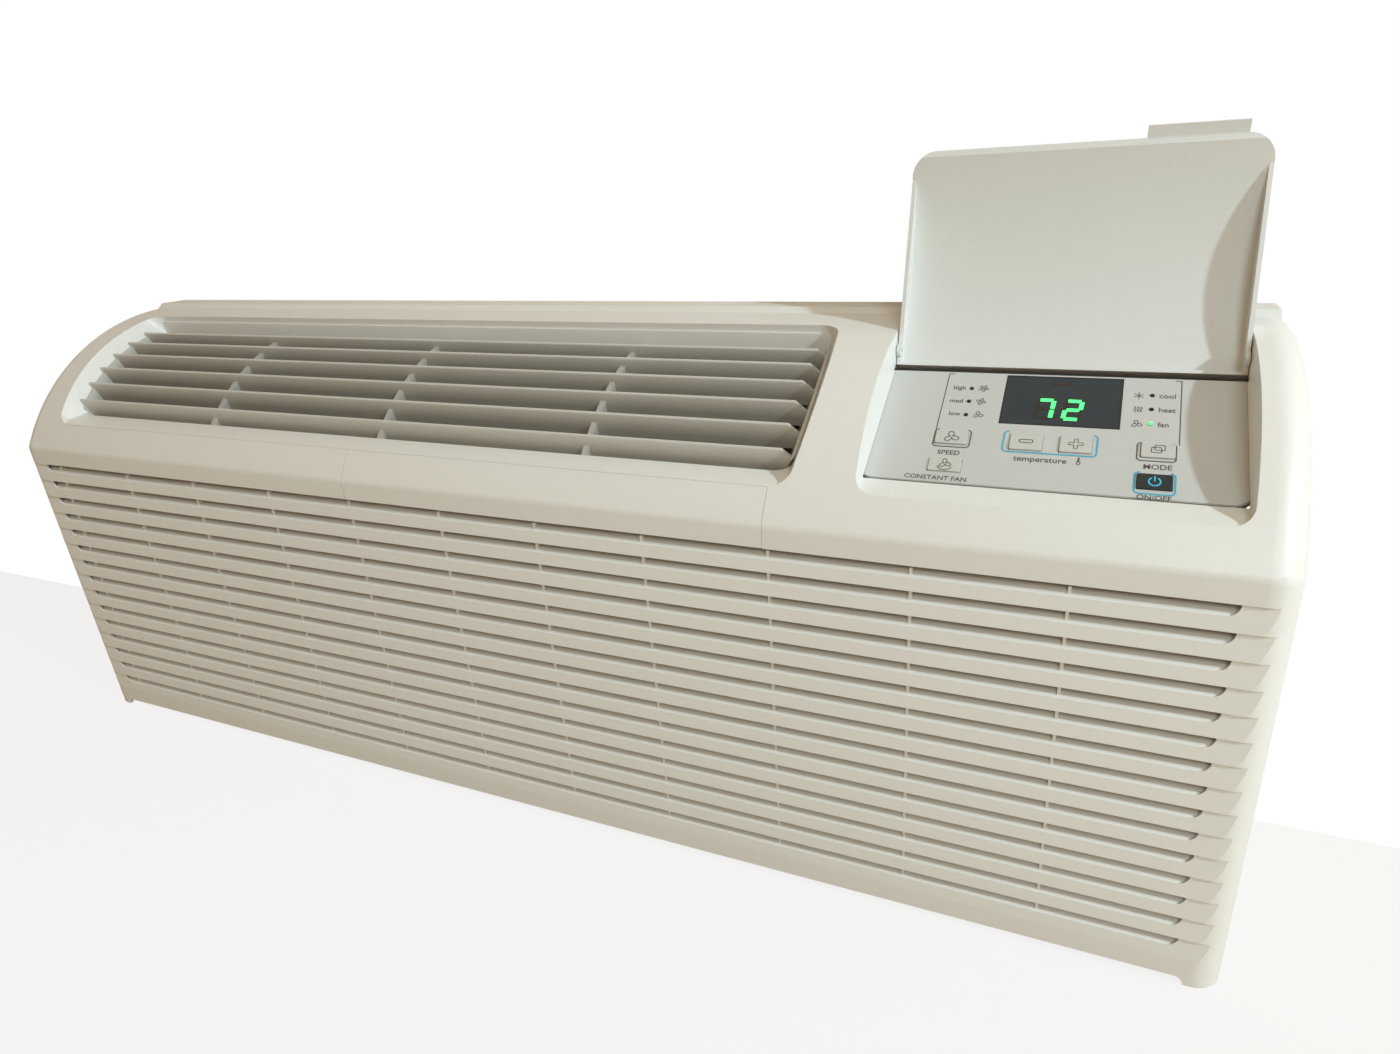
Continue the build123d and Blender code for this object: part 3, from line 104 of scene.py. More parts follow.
def makeSpangleGroup():
    # crystal patches of zinc: a cell pattern's own tone, softened by noise
    group, given, result = nodeGroup(
        "zincSpangle", [("Scale", "NodeSocketFloat", 90.0)], [("Tone", "NodeSocketFloat")])
    place = group.nodes.new("ShaderNodeTexCoord")
    cells = group.nodes.new("ShaderNodeTexVoronoi")
    tone = group.nodes.new("ShaderNodeSeparateColor")
    group.links.new(place.outputs["Object"], cells.inputs["Vector"])
    group.links.new(given.outputs["Scale"], cells.inputs["Scale"])
    group.links.new(cells.outputs["Color"], tone.inputs["Color"])
    group.links.new(tone.outputs["Red"], result.inputs["Tone"])
    return group


grainGroup = makeGrainGroup()
spangleGroup = makeSpangleGroup()

# Painted shade: the base colour darkens deeper in the louvre slots and deeper among the vanes under the
# curved top
faceLean = 0.046  # the louvred face comes forward by this much for each metre of height
louvreSlotShade = {"tint": (0.34, 0.26, 0.18), "faceY": -0.1937, "near": 0.0015, "far": 0.0085, "slotTop": 0.284,
              "halfLength": 0.508, "amount": 0.9}
vaneDepthShade = {"tint": (0.30, 0.27, 0.22), "axis": (0.0, -0.027, 0.1995), "radius": 0.203, "near": 0.003,
            "far": 0.020, "amount": 0.85}


def step(tree, kind, operation, *sources):
    # one math node: each source is a socket to link or a plain value
    node = tree.nodes.new(kind)
    node.operation = operation
    for i, source in enumerate(sources):
        if isinstance(source, bpy.types.NodeSocket):
            tree.links.new(source, node.inputs[i])
        else:
            node.inputs[i].default_value = source
    return node.outputs["Value" if kind == "ShaderNodeMath" or operation == "LENGTH" else "Vector"]


def ramp(tree, value, start, stop, amount):
    # 0 at start, rising to amount at stop
    node = tree.nodes.new("ShaderNodeMapRange")
    node.inputs["From Min"].default_value = start
    node.inputs["From Max"].default_value = stop
    node.inputs["To Max"].default_value = amount
    tree.links.new(value, node.inputs["Value"])
    return node.outputs["Result"]


def tinted(tree, colour, tint, amount):
    mix = tree.nodes.new("ShaderNodeMix")
    mix.data_type = "RGBA"
    mix.inputs[7].default_value = (*tint, 1.0)
    tree.links.new(colour, mix.inputs[6])
    tree.links.new(amount, mix.inputs[0])
    return mix.outputs[2]


def addLouvreSlotShade(tree, colour, c):
    # painted shade: depth behind the louvred face is y + lean z - faceY; the colour darkens towards the tint
    # as depth grows, in the slots' field only
    parts = tree.nodes.new("ShaderNodeSeparateXYZ")
    tree.links.new(tree.nodes.new("ShaderNodeTexCoord").outputs["Object"], parts.inputs[0])
    across, inward, height = parts.outputs
    depth = step(tree, "ShaderNodeMath", "MULTIPLY_ADD", height, faceLean, inward)
    amount = ramp(tree, depth, c["faceY"] + c["near"], c["faceY"] + c["far"], c["amount"])
    below = step(tree, "ShaderNodeMath", "LESS_THAN", height, c["slotTop"])
    fromMiddle = step(tree, "ShaderNodeMath", "ABSOLUTE", across)
    between = step(tree, "ShaderNodeMath", "LESS_THAN", fromMiddle, c["halfLength"])
    field = step(tree, "ShaderNodeMath", "MULTIPLY", below, between)
    return tinted(tree, colour, c["tint"], step(tree, "ShaderNodeMath", "MULTIPLY", amount, field))


def addVaneDepthShade(tree, colour, c):
    # painted shade: depth is the top's radius less the distance from its axis, sqrt(dy^2 + dz^2); the colour
    # darkens towards the tint as depth grows
    place = tree.nodes.new("ShaderNodeTexCoord").outputs["Object"]
    offset = step(tree, "ShaderNodeVectorMath", "SUBTRACT", place, c["axis"])
    endOn = step(tree, "ShaderNodeVectorMath", "MULTIPLY", offset, (0.0, 1.0, 1.0))
    reach = step(tree, "ShaderNodeVectorMath", "LENGTH", endOn)
    amount = ramp(tree, reach, c["radius"] - c["near"], c["radius"] - c["far"], c["amount"])
    return tinted(tree, colour, c["tint"], amount)


skin = {"coatRoughness": 0.12, "scatterRadius": (0.004, 0.003, 0.002), "reliefDepth": 0.0004}


def finish(name, light, dark, roughness, metallic=0.0, grain=900.0, slow=6.0, bump=0.08, coat=0.0,
           spangle=False, roughSpread=0.0, scatter=0.0, slotShade=None, vaneShade=None):
    # colour drifts between light and dark; the bump follows the fine grain
    material = bpy.data.materials.new(name)
    material.use_nodes = True
    tree = material.node_tree
    shader = tree.nodes["Principled BSDF"]
    shader.inputs["Metallic"].default_value = metallic
    shader.inputs["Coat Weight"].default_value = coat
    shader.inputs["Coat Roughness"].default_value = skin["coatRoughness"]
    shader.inputs["Subsurface Weight"].default_value = scatter
    shader.inputs["Subsurface Radius"].default_value = skin["scatterRadius"]
    shader.inputs["Subsurface Scale"].default_value = 1.0
    grainNode = tree.nodes.new("ShaderNodeGroup")
    grainNode.node_tree = grainGroup
    grainNode.inputs["Fine"].default_value = grain
    grainNode.inputs["Slow"].default_value = slow
    tone = grainNode.outputs["Drift"]
    if spangle:
        cells = tree.nodes.new("ShaderNodeGroup")
        cells.node_tree = spangleGroup
        tone = cells.outputs["Tone"]
    mix = tree.nodes.new("ShaderNodeMix")
    mix.data_type = "RGBA"
    mix.inputs[6].default_value = (*light, 1.0)
    mix.inputs[7].default_value = (*dark, 1.0)
    tree.links.new(tone, mix.inputs[0])
    colour = mix.outputs[2]
    # painted shade in the louvre slots, mixed into the base colour
    if slotShade:
        colour = addLouvreSlotShade(tree, colour, slotShade)
    # painted shade deeper among the vanes, mixed into the base colour
    if vaneShade:
        colour = addVaneDepthShade(tree, colour, vaneShade)
    tree.links.new(colour, shader.inputs["Base Color"])
    shader.inputs["Roughness"].default_value = roughness
    if roughSpread:
        spread = tree.nodes.new("ShaderNodeMapRange")
        spread.inputs["To Min"].default_value = roughness - roughSpread
        spread.inputs["To Max"].default_value = roughness + roughSpread
        tree.links.new(grainNode.outputs["Drift"], spread.inputs["Value"])
        tree.links.new(spread.outputs["Result"], shader.inputs["Roughness"])
    if bump:
        relief = tree.nodes.new("ShaderNodeBump")
        relief.inputs["Strength"].default_value = bump
        relief.inputs["Distance"].default_value = skin["reliefDepth"]
        tree.links.new(grainNode.outputs["Pebble"], relief.inputs["Height"])
        tree.links.new(relief.outputs["Normal"], shader.inputs["Normal"])
    return material


def glow(name, colour, strength, unlit=0.4):
    # unlit is how strong the surface's own colour is beside its light
    material = bpy.data.materials.new(name)
    material.use_nodes = True
    shader = material.node_tree.nodes["Principled BSDF"]
    shader.inputs["Base Color"].default_value = (*[unlit * c for c in colour], 1.0)
    shader.inputs["Emission Color"].default_value = (*colour, 1.0)
    shader.inputs["Emission Strength"].default_value = strength
    return material


finishes = {
    "warmWhite": finish("warmWhite", (0.85, 0.84, 0.815), (0.83, 0.815, 0.785), 0.40, grain=1100, bump=0.10,
                        roughSpread=0.05, scatter=0.05),
    "louvreWhite": finish("louvreWhite", (0.85, 0.84, 0.815), (0.83, 0.815, 0.785), 0.40, grain=1100,
                          bump=0.10, roughSpread=0.05, scatter=0.05, slotShade=louvreSlotShade),
    "vaneWhite": finish("vaneWhite", (0.80, 0.79, 0.76), (0.77, 0.76, 0.73), 0.46, grain=900, bump=0.12,
                        roughSpread=0.05, vaneShade=vaneDepthShade),
    "doorWhite": finish("doorWhite", (0.77, 0.775, 0.76), (0.745, 0.745, 0.725), 0.45, grain=700, bump=0.22,
                        roughSpread=0.05),
    "panelSilver": finish("panelSilver", (0.66, 0.67, 0.665), (0.62, 0.625, 0.61), 0.36, metallic=0.15,
                          grain=2600, slow=14, bump=0.06),
    "smokedWindow": finish("smokedWindow", (0.014, 0.024, 0.036), (0.020, 0.032, 0.044), 0.22, coat=0.3,
                           bump=0.0),
    "darkKey": finish("darkKey", (0.018, 0.022, 0.028), (0.03, 0.033, 0.038), 0.34, bump=0.05),
    "paleKey": finish("paleKey", (0.63, 0.635, 0.60), (0.59, 0.59, 0.56), 0.38, bump=0.05),
    "carrierGrey": finish("carrierGrey", (0.46, 0.455, 0.435), (0.42, 0.415, 0.39), 0.5, bump=0.15),
    "zinc": finish("zinc", (0.66, 0.68, 0.70), (0.50, 0.52, 0.54), 0.36, metallic=0.9, spangle=True,
                   grain=400, bump=0.05, roughSpread=0.08),
    "steel": finish("steel", (0.58, 0.58, 0.58), (0.47, 0.47, 0.48), 0.32, metallic=1.0, grain=600, bump=0.05,
                    roughSpread=0.06),
    "aluminium": finish("aluminium", (0.80, 0.81, 0.82), (0.66, 0.67, 0.69), 0.34, metallic=1.0, grain=500,
                        slow=30, bump=0.06, roughSpread=0.08),
    "copper": finish("copper", (0.80, 0.42, 0.26), (0.55, 0.26, 0.15), 0.30, metallic=1.0, slow=24, bump=0.03,
                     roughSpread=0.10),
    "blackPlastic": finish("blackPlastic", (0.022, 0.022, 0.023), (0.035, 0.034, 0.034), 0.48, grain=800,
                           bump=0.18, roughSpread=0.05),
    "blackEnamel": finish("blackEnamel", (0.018, 0.018, 0.019), (0.03, 0.029, 0.029), 0.28, grain=260,
                          bump=0.12, coat=0.3),
    "rubber": finish("rubber", (0.02, 0.02, 0.02), (0.035, 0.034, 0.033), 0.75, bump=0.2),
    "foam": finish("foam", (0.10, 0.105, 0.11), (0.05, 0.052, 0.056), 0.9, grain=240, slow=60, bump=0.8),
    "board": finish("board", (0.03, 0.15, 0.07), (0.02, 0.11, 0.05), 0.4, slow=90, bump=0.1),
    "netting": finish("netting", (0.035, 0.035, 0.036), (0.05, 0.05, 0.05), 0.6, bump=0.1),
    "printGrey": finish("printGrey", (0.10, 0.10, 0.10), (0.13, 0.125, 0.12), 0.5, bump=0.03),
    "printCyan": finish("printCyan", (0.05, 0.42, 0.62), (0.07, 0.46, 0.64), 0.4, bump=0.03),
    "lampDark": finish("lampDark", (0.02, 0.02, 0.018), (0.03, 0.03, 0.026), 0.25, bump=0.0),
    "litGreen": glow("litGreen", (0.06, 1.0, 0.16), 2.4),
    "litCyan": glow("litCyan", (0.05, 0.55, 0.75), 0.7),
    "dimRed": glow("dimRed", (0.10, 0.025, 0.025), 0.25),
}

nodeFinish = {
    "louvreWhite": ["cover_shell"],
    "warmWhite": ["filter_left", "filter_right"],
    "vaneWhite": ["discharge_grille"],
    "doorWhite": ["control_door"],
    "panelSilver": ["panel_overlay"],
    "smokedWindow": ["display_window"],
    "darkKey": ["button_power"],
    "paleKey": ["button_fan_speed", "button_constant_fan", "button_minus", "button_plus", "button_mode"],
    "carrierGrey": ["control_panel"],
    "lampDark": ["status_lamps"],
    "zinc": ["base_pan", "bulkhead", "mounting_flanges", "top_brace", "control_box", "control_box_cover",
             "control_box_stand", "indoor_motor_stand", "motor_bracket"],
    "steel": ["door_pins", "sleeve_screws", "blower_shaft", "outdoor_shaft", "electric_heater",
              "run_capacitor", "transformer", "compressor_studs"],
    "aluminium": ["evaporator_fins", "condenser_fins"],
    "copper": ["evaporator_tubes", "condenser_tubes", "refrigerant_tubes"],
    "blackPlastic": ["display_module", "drain_tray", "blower_scroll", "blower_wheel", "cord_gland",
                     "vent_frame", "vent_flap", "vent_lever", "lever_guides", "fan_shroud", "outdoor_fan",
                     "terminal_cover"],
    "blackEnamel": ["indoor_motor", "outdoor_motor", "compressor", "accumulator"],
    "rubber": ["blower_bearing", "compressor_grommets"],
    "foam": ["foam_liner"],
    "board": ["key_board", "control_board"],
    "netting": ["filter_mesh_left", "filter_mesh_right"],
}


def dressNodes():
    for key, names in nodeFinish.items():
        for name in names:
            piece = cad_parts[name]
            if not piece.material_slots:
                piece.data.materials.append(finishes[key])
            for holder in piece.material_slots:
                holder.material = finishes[key]


dressNodes()
print("materials made:", len(finishes))


# Meshes from arrays of corners and faces
def meshPiece(name, corners, faces, finishName, body, slot, thickness=0.0):
    mesh = bpy.data.meshes.new(name)
    mesh.from_pydata(np.asarray(corners).tolist(), [], np.asarray(faces).tolist())
    mesh.materials.append(finishes[finishName])
    mesh.validate()
    piece = bpy.data.objects.new(name, mesh)
    bpy.context.scene.collection.objects.link(piece)
    if thickness:
        shell = piece.modifiers.new("shell", "SOLIDIFY")
        shell.thickness = thickness
        shell.offset = 1.0
    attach(piece, body)
    return piece


def boxBars(centres, halves):
    # n boxes at once: each corner is centre + sign * half size, for the eight sign triples
    signs = np.array([[i, j, k] for i in (-1, 1) for j in (-1, 1) for k in (-1, 1)], float)
    corners = (centres[:, None, :] + signs[None] * halves[:, None, :]).reshape(-1, 3)
    quads = np.array([[0, 1, 3, 2], [4, 6, 7, 5], [0, 4, 5, 1], [2, 3, 7, 6], [0, 2, 6, 4], [1, 5, 7, 3]])
    faces = (np.arange(len(centres))[:, None, None] * 8 + quads[None]).reshape(-1, 4)
    return corners, faces


# Coils: hundreds of thin fins between two end plates
coils = {
    "condenserFins": {"node": "condenser_fins", "pitch": 0.0026, "fin": 0.0005, "plate": 0.0015},
    "evaporatorFins": {"node": "evaporator_fins", "pitch": 0.0026, "fin": 0.0005, "plate": 0.0015},
}
finWave = {"depth": 0.0006, "turn": 0.9}  # how unevenly the fins' edges stand, and how that changes per fin


def addCoil(name, c):
    # fins at an even pitch along x, each a little narrower by depth |sin(turn i)|
    low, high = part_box(c["node"])
    count = int((high.x - low.x) / c["pitch"])
    x = np.linspace(low.x + c["plate"], high.x - c["plate"], count)
    middle = np.array([(low.y + high.y) / 2, (low.z + high.z) / 2])
    half = np.array([(high.y - low.y) / 2, (high.z - low.z) / 2])
    centres = np.column_stack([x, np.full(count, middle[0]), np.full(count, middle[1])])
    wave = finWave["depth"] * np.abs(np.sin(np.arange(count) * finWave["turn"]))
    halves = np.column_stack([np.full(count, c["fin"] / 2), half[0] - wave, np.full(count, half[1])])
    halves[[0, -1], 0] = c["plate"]
    piece = meshPiece(name, *boxBars(centres, halves), "aluminium", "chassis", "fin_aluminium")
    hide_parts(c["node"])


for coilName, coil in coils.items():
    addCoil(coilName, coil)
print("coils made")

# The rear wall of the grille's recess runs on down to the grille's frame
recessWall = {"left": -0.4860, "right": 0.2460, "y": -0.0655, "foot": 0.3765, "top": 0.3925, "lean": 0.10,
              "wall": 0.0022, "columns": 40, "rows": 5}


def addRecessWall(c):
    # a grid over x and z whose y follows the moulding's draft
    n, m = c["columns"], c["rows"]
    x, z = np.meshgrid(np.linspace(c["left"], c["right"], n), np.linspace(c["foot"], c["top"], m))
    y = c["y"] - c["lean"] * (z - c["foot"])
    grid = np.stack([x, y, z], -1).reshape(-1, 3)
    i, j = np.meshgrid(np.arange(m - 1), np.arange(n - 1), indexing="ij")
    faces = np.stack([i * n + j, i * n + j + 1, (i + 1) * n + j + 1, (i + 1) * n + j], -1).reshape(-1, 4)
    piece = meshPiece("grilleRearWall", grid, faces, "warmWhite", "front_cover", "warm_white", c["wall"])
    piece.modifiers["shell"].offset = -1.0


addRecessWall(recessWall)

# Filter netting: woven strands in the plane of the filter, crossing at a fixed pitch
nets = {
    "filterNetLeft": {"node": "filter_mesh_left", "body": "filter_left"},
    "filterNetRight": {"node": "filter_mesh_right", "body": "filter_right"},
}
weave = {"pitch": 0.0022, "strand": 0.0005, "halfDepth": 0.00008, "upperShift": 0.00012}


def addNet(name, c, w):
    # rows of strands across, shifted forward, and columns up; both follow the lean of the louvred face
    low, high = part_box(c["node"])
    middle = (low + high) / 2
    columns = np.arange(low.x + w["strand"], high.x, w["pitch"])
    rows = np.arange(low.z + w["strand"], high.z, w["pitch"])
    half, deep = w["strand"] / 2, w["halfDepth"]
    acrossY = middle.y - faceLean * (rows - middle.z) - deep
    across = np.column_stack([np.full(len(rows), middle.x), acrossY, rows])
    acrossHalf = np.tile([(high.x - low.x) / 2, deep, half], (len(rows), 1))
    up = np.column_stack([columns, np.full(len(columns), middle.y), np.full(len(columns), middle.z)])
    upHalf = np.tile([half, deep, (high.z - low.z) / 2], (len(columns), 1))
    corners, faces = boxBars(np.vstack([across, up]), np.vstack([acrossHalf, upHalf]))
    rowCorners = len(rows) * 8
    corners[rowCorners:, 1] -= faceLean * (corners[rowCorners:, 2] - middle.z) - w["upperShift"]
    piece = meshPiece(name, corners, faces, "netting", c["body"], "mesh_black")
    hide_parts(c["node"])


for netName, net in nets.items():
    addNet(netName, net, weave)
print("filter nets made")

# Print on the control panel, in millimetres along it and up its slope
panel = {"footY": -0.1720, "footZ": 0.3195, "slope": 30.7, "skin": 0.00046, "film": 0.00006}


def onPanel(flat, lift=0.0):
    # a point (x, t) of the drawing goes to foot + x across + t up the slope + lift along the normal
    tilt = np.radians(panel["slope"])
    up = np.array([0.0, np.cos(tilt), np.sin(tilt)])
    out = np.array([0.0, -np.sin(tilt), np.cos(tilt)])
    foot = np.array([0.0, panel["footY"], panel["footZ"]])
    flat = np.asarray(flat, float) * 0.001
    return foot + flat[:, :1] * [1.0, 0, 0] + flat[:, 1:2] * up + (panel["skin"] + lift) * out


def band(points, width, closed=False):
    # a flat band: each path point is moved half a width to both sides along its normal
    p = np.asarray(points, float)
    before = np.roll(p, 1, 0)
    after = np.roll(p, -1, 0)
    if not closed:
        before[0], after[-1] = p[0], p[-1]
    run = after - before
    run /= np.maximum(np.linalg.norm(run, axis=1), 1e-9)[:, None]
    side = np.column_stack([-run[:, 1], run[:, 0]]) * width / 2
    n = len(p)
    i = np.arange(n if closed else n - 1)
    j = (i + 1) % n
    return np.vstack([p - side, p + side]), np.column_stack([i, j, j + n, i + n])


def disc(centre, radius, sides=48):
    # a circle filled from its middle
    a = np.linspace(0, 2 * np.pi, sides, endpoint=False)
    rim = np.asarray(centre) + radius * np.column_stack([np.cos(a), np.sin(a)])
    i = np.arange(sides)
    return np.vstack([rim, [centre]]), np.column_stack([i, (i + 1) % sides, np.full(sides, sides)])


def fanIcon(x, t, radius, petals, line):
    # a fan drawn as a closed band, whose radius swells on each petal as hub + (1 - hub) |cos(petals a / 2)|
    hub, turn, swell = 0.12, 0.5, 1.2
    a = np.linspace(0, 2 * np.pi, 72, endpoint=False)
    r = radius * (hub + (1 - hub) * np.abs(np.cos(petals * a / 2 + turn)) ** swell)
    return band(np.array((x, t)) + np.column_stack([r * np.cos(a), r * np.sin(a)]), line, closed=True)


def cornerArcs(left, right, low, high, radius, firstCorner):
    # four quarter arcs in turn, anticlockwise; corner 0 is the upper right one
    centres = [(right - radius, high - radius), (left + radius, high - radius), (left + radius, low + radius),
               (right - radius, low + radius)]
    path = []
    for k in range(firstCorner, firstCorner + 4):
        angle = (np.linspace(0, 1, 7) + k) * np.pi / 2
        path.append(np.array(centres[k % 4]) + radius * np.column_stack([np.cos(angle), np.sin(angle)]))
    return np.vstack(path)


def roundedFrame(left, right, low, high, radius, width):
    return band(cornerArcs(left, right, low, high, radius, 0), width, closed=True)


def openFrame(left, right, low, high, radius, width):
    # the top stays open between the two upper corners
    return band(cornerArcs(left, right, low, high, radius, 1), width)


def arcBand(centre, radius, start, stop, width):
    # an arc from start to stop, in degrees
    a = np.radians(np.linspace(start, stop, 28))
    return band(np.asarray(centre) + radius * np.column_stack([np.cos(a), np.sin(a)]), width)


def wavyLine(centre, height, width, swing=0.5, waves=0.7):
    # upright, swinging sideways as swing sin(2 pi waves t)
    t = np.linspace(-1, 1, 17)
    x = centre[0] + swing * np.sin(t * 2 * np.pi * waves)
    return band(np.column_stack([x, centre[1] + t * height / 2]), width)


def gather(shapes):
    # many flat shapes as one list of corners and faces
    corners, faces, used = [], [], 0
    for flat, quads in shapes:
        corners.append(flat)
        faces += [[int(v) + used for v in face] for face in quads]
        used += len(flat)
    return np.vstack(corners), faces


def addPrint(name, shapes, finishName, body="chassis", lift=0.0):
    corners, faces = gather(shapes)
    mesh = bpy.data.meshes.new(name)
    mesh.from_pydata(onPanel(corners, lift).tolist(), [], faces)
    mesh.materials.append(finishes[finishName])
    piece = bpy.data.objects.new(name, mesh)
    bpy.context.scene.collection.objects.link(piece)
    shell = piece.modifiers.new("film", "SOLIDIFY")
    shell.thickness = panel["film"]
    shell.offset = 1.0
    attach(piece, body)
    return piece


brackets = {
    "grey": [(329.5, 352.0, 31.3, 46.4), (447.8, 468.6, 30.2, 44.6)],  # left, right, low, high
    "cyan": [(372.0, 426.0, 30.5, 48.0), (447.5, 468.8, 4.7, 21.0)],
    "risers": [(329.6, 46.0, 98.5, 333.0), (470.0, 44.0, 98.8, 466.6)],  # x, low, high, end of the short top
    "greyRound": 2.4, "greyWidth": 0.8, "cyanRound": 2.6, "cyanWidth": 1.1, "riserWidth": 0.6,
}


def addBrackets(b):
    grey = [openFrame(*box, b["greyRound"], b["greyWidth"]) for box in b["grey"]]
    grey += [band([(x, low), (x, high)], b["riserWidth"]) for x, low, high, end in b["risers"]]
    grey += [band([(x, high), (end, high)], b["riserWidth"]) for x, low, high, end in b["risers"]]
    cyan = [openFrame(*box, b["cyanRound"], b["cyanWidth"]) for box in b["cyan"]]
    addPrint("greyBrackets", grey, "printGrey")
    addPrint("cyanBrackets", cyan, "printCyan")


icons = {
    "fans": [(353.6, 85.6, 3.2, 5, 0.45), (353.6, 73.2, 3.1, 4, 0.45), (353.6, 61.0, 3.1, 3, 0.5),
             (446.4, 59.9, 3.1, 3, 0.5)],  # x, t, radius, petals, line
    "frost": {"centre": (446.6, 84.6), "reach": 3.0, "line": 0.5},
    "heat": {"x": (444.9, 446.6, 448.3), "t": 72.6, "tall": 4.6, "line": 0.55},
    "bulb": {"centre": (416.6, 24.6), "radius": 1.1, "line": 0.55, "stem": (25.6, 29.0), "stemLine": 1.1},
    "capLift": 0.0012,  # the symbols on the keys lie on the raised caps
    "fanSpeed": (340.5, 38.9, 4.8, 3, 0.6),
    "constantFan": (340.2, 15.8, 3.8, 3, 0.55),
    "constantArc": {"centre": (340.2, 15.4), "radius": 4.9, "from": 205, "to": 335, "line": 0.6},
    "minus": (381.6, 389.4, 37.7, 40.3, 1.0, 0.55),
    "plus": {"centre": (414.1, 39.2), "arm": 4.0, "halfWide": 1.0, "line": 0.6},
    "pages": [(455.4, 460.8, 36.0, 40.2, 0.7, 0.5), (457.2, 462.6, 38.0, 42.0, 0.7, 0.5)],
    "power": {"centre": (458.1, 13.3), "radius": 3.1, "from": -240, "to": 60, "line": 0.75,
              "bar": (13.6, 17.4)},
}


def frostStar(c):
    # three strokes through one centre, 60 degrees apart
    middle = np.array(c["centre"])
    turns = np.radians((30, 90, 150))
    reaches = c["reach"] * np.column_stack([np.cos(turns), np.sin(turns)])
    return [band([middle - reach, middle + reach], c["line"]) for reach in reaches]


def plusOutline(c):
    # the twelve corners of a cross
    a, b = c["arm"], c["halfWide"]
    corners = [(-b, a), (b, a), (b, b), (a, b), (a, -b), (b, -b),
               (b, -a), (-b, -a), (-b, -b), (-a, -b), (-a, b), (-b, b)]
    return band(np.array(corners) + c["centre"], c["line"], closed=True)


def addKeyIcon(name, shapes, button, finishName="printGrey"):
    addPrint(name, shapes, finishName, button, icons["capLift"])


def addIcons(c):
    heat, bulb, arc, power = c["heat"], c["bulb"], c["constantArc"], c["power"]
    marks = [fanIcon(*fan) for fan in c["fans"]] + frostStar(c["frost"])
    marks += [wavyLine((x, heat["t"]), heat["tall"], heat["line"]) for x in heat["x"]]
    marks.append(arcBand(bulb["centre"], bulb["radius"], 0, 360, bulb["line"]))
    marks.append(band([(bulb["centre"][0], t) for t in bulb["stem"]], bulb["stemLine"]))
    addPrint("panelIcons", marks, "printGrey")
    addKeyIcon("fanSpeedIcon", [fanIcon(*c["fanSpeed"])], "button_fan_speed")
    under = arcBand(arc["centre"], arc["radius"], arc["from"], arc["to"], arc["line"])
    addKeyIcon("constantFanIcon", [fanIcon(*c["constantFan"]), under], "button_constant_fan")
    addKeyIcon("minusIcon", [roundedFrame(*c["minus"])], "button_minus")
    addKeyIcon("plusIcon", [plusOutline(c["plus"])], "button_plus")
    addKeyIcon("modeIcon", [roundedFrame(*page) for page in c["pages"]], "button_mode")
    ring = arcBand(power["centre"], power["radius"], power["from"], power["to"], power["line"])
    bar = band([(power["centre"][0], t) for t in power["bar"]], power["line"])
    addKeyIcon("powerIcon", [ring, bar], "button_power", "litCyan")


words = [  # text, right, middle or left x, foot t, height, alignment
    ("high", 342.4, 83.8, 5.0, "RIGHT"), ("med", 342.4, 71.4, 5.0, "RIGHT"),
    ("low", 342.4, 59.4, 5.0, "RIGHT"), ("cool", 457.8, 83.2, 5.4, "LEFT"),
    ("heat", 457.8, 71.0, 5.4, "LEFT"), ("fan", 457.8, 58.4, 5.4, "LEFT"),
    ("SPEED", 340.6, 24.6, 5.2, "CENTER"), ("CONSTANT FAN", 336.0, 2.9, 5.0, "CENTER"),
    ("temperature", 395.0, 23.4, 6.0, "CENTER"), ("MODE", 459.2, 23.8, 5.4, "CENTER"),
    ("ON/OFF", 458.2, 0.4, 5.0, "CENTER"),
]
inkSpread = 0.012  # how much a letter's strokes are widened, as a part of its height


def wordShape(text, x, foot, height, align):
    # the letters' flat faces, taken from a text curve that is then removed
    curve = bpy.data.curves.new("words", "FONT")
    curve.body = text
    curve.size = height
    curve.align_x = align
    curve.resolution_u = 3
    curve.offset = inkSpread * height
    holder = bpy.data.objects.new("words", curve)
    bpy.context.scene.collection.objects.link(holder)
    bpy.context.view_layer.update()
    mesh = bpy.data.meshes.new_from_object(holder)
    flat = np.zeros(len(mesh.vertices) * 3)
    mesh.vertices.foreach_get("co", flat)
    faces = [list(p.vertices) for p in mesh.polygons]
    bpy.data.objects.remove(holder)
    bpy.data.meshes.remove(mesh)
    return flat.reshape(-1, 3)[:, :2] + [x, foot], faces


def addWords(rows):
    addPrint("panelWords", [wordShape(*row) for row in rows], "printGrey")


digits = {"left": [386.3, 402.9], "foot": 59.6, "height": 19.0, "wide": 12.0, "stroke": 3.0, "lean": 0.08,
          "gap": 0.7, "fullness": 0.85, "signLeft": 395.5, "signStep": 4.6, "signLong": 3.1, "signT": 92.0,
          "signTall": 2.2, "rim": (367.6, 436.8, 55.0, 98.6, 1.2, 0.9)}
segmentsLit = {"7": "abc", "2": "abged"}


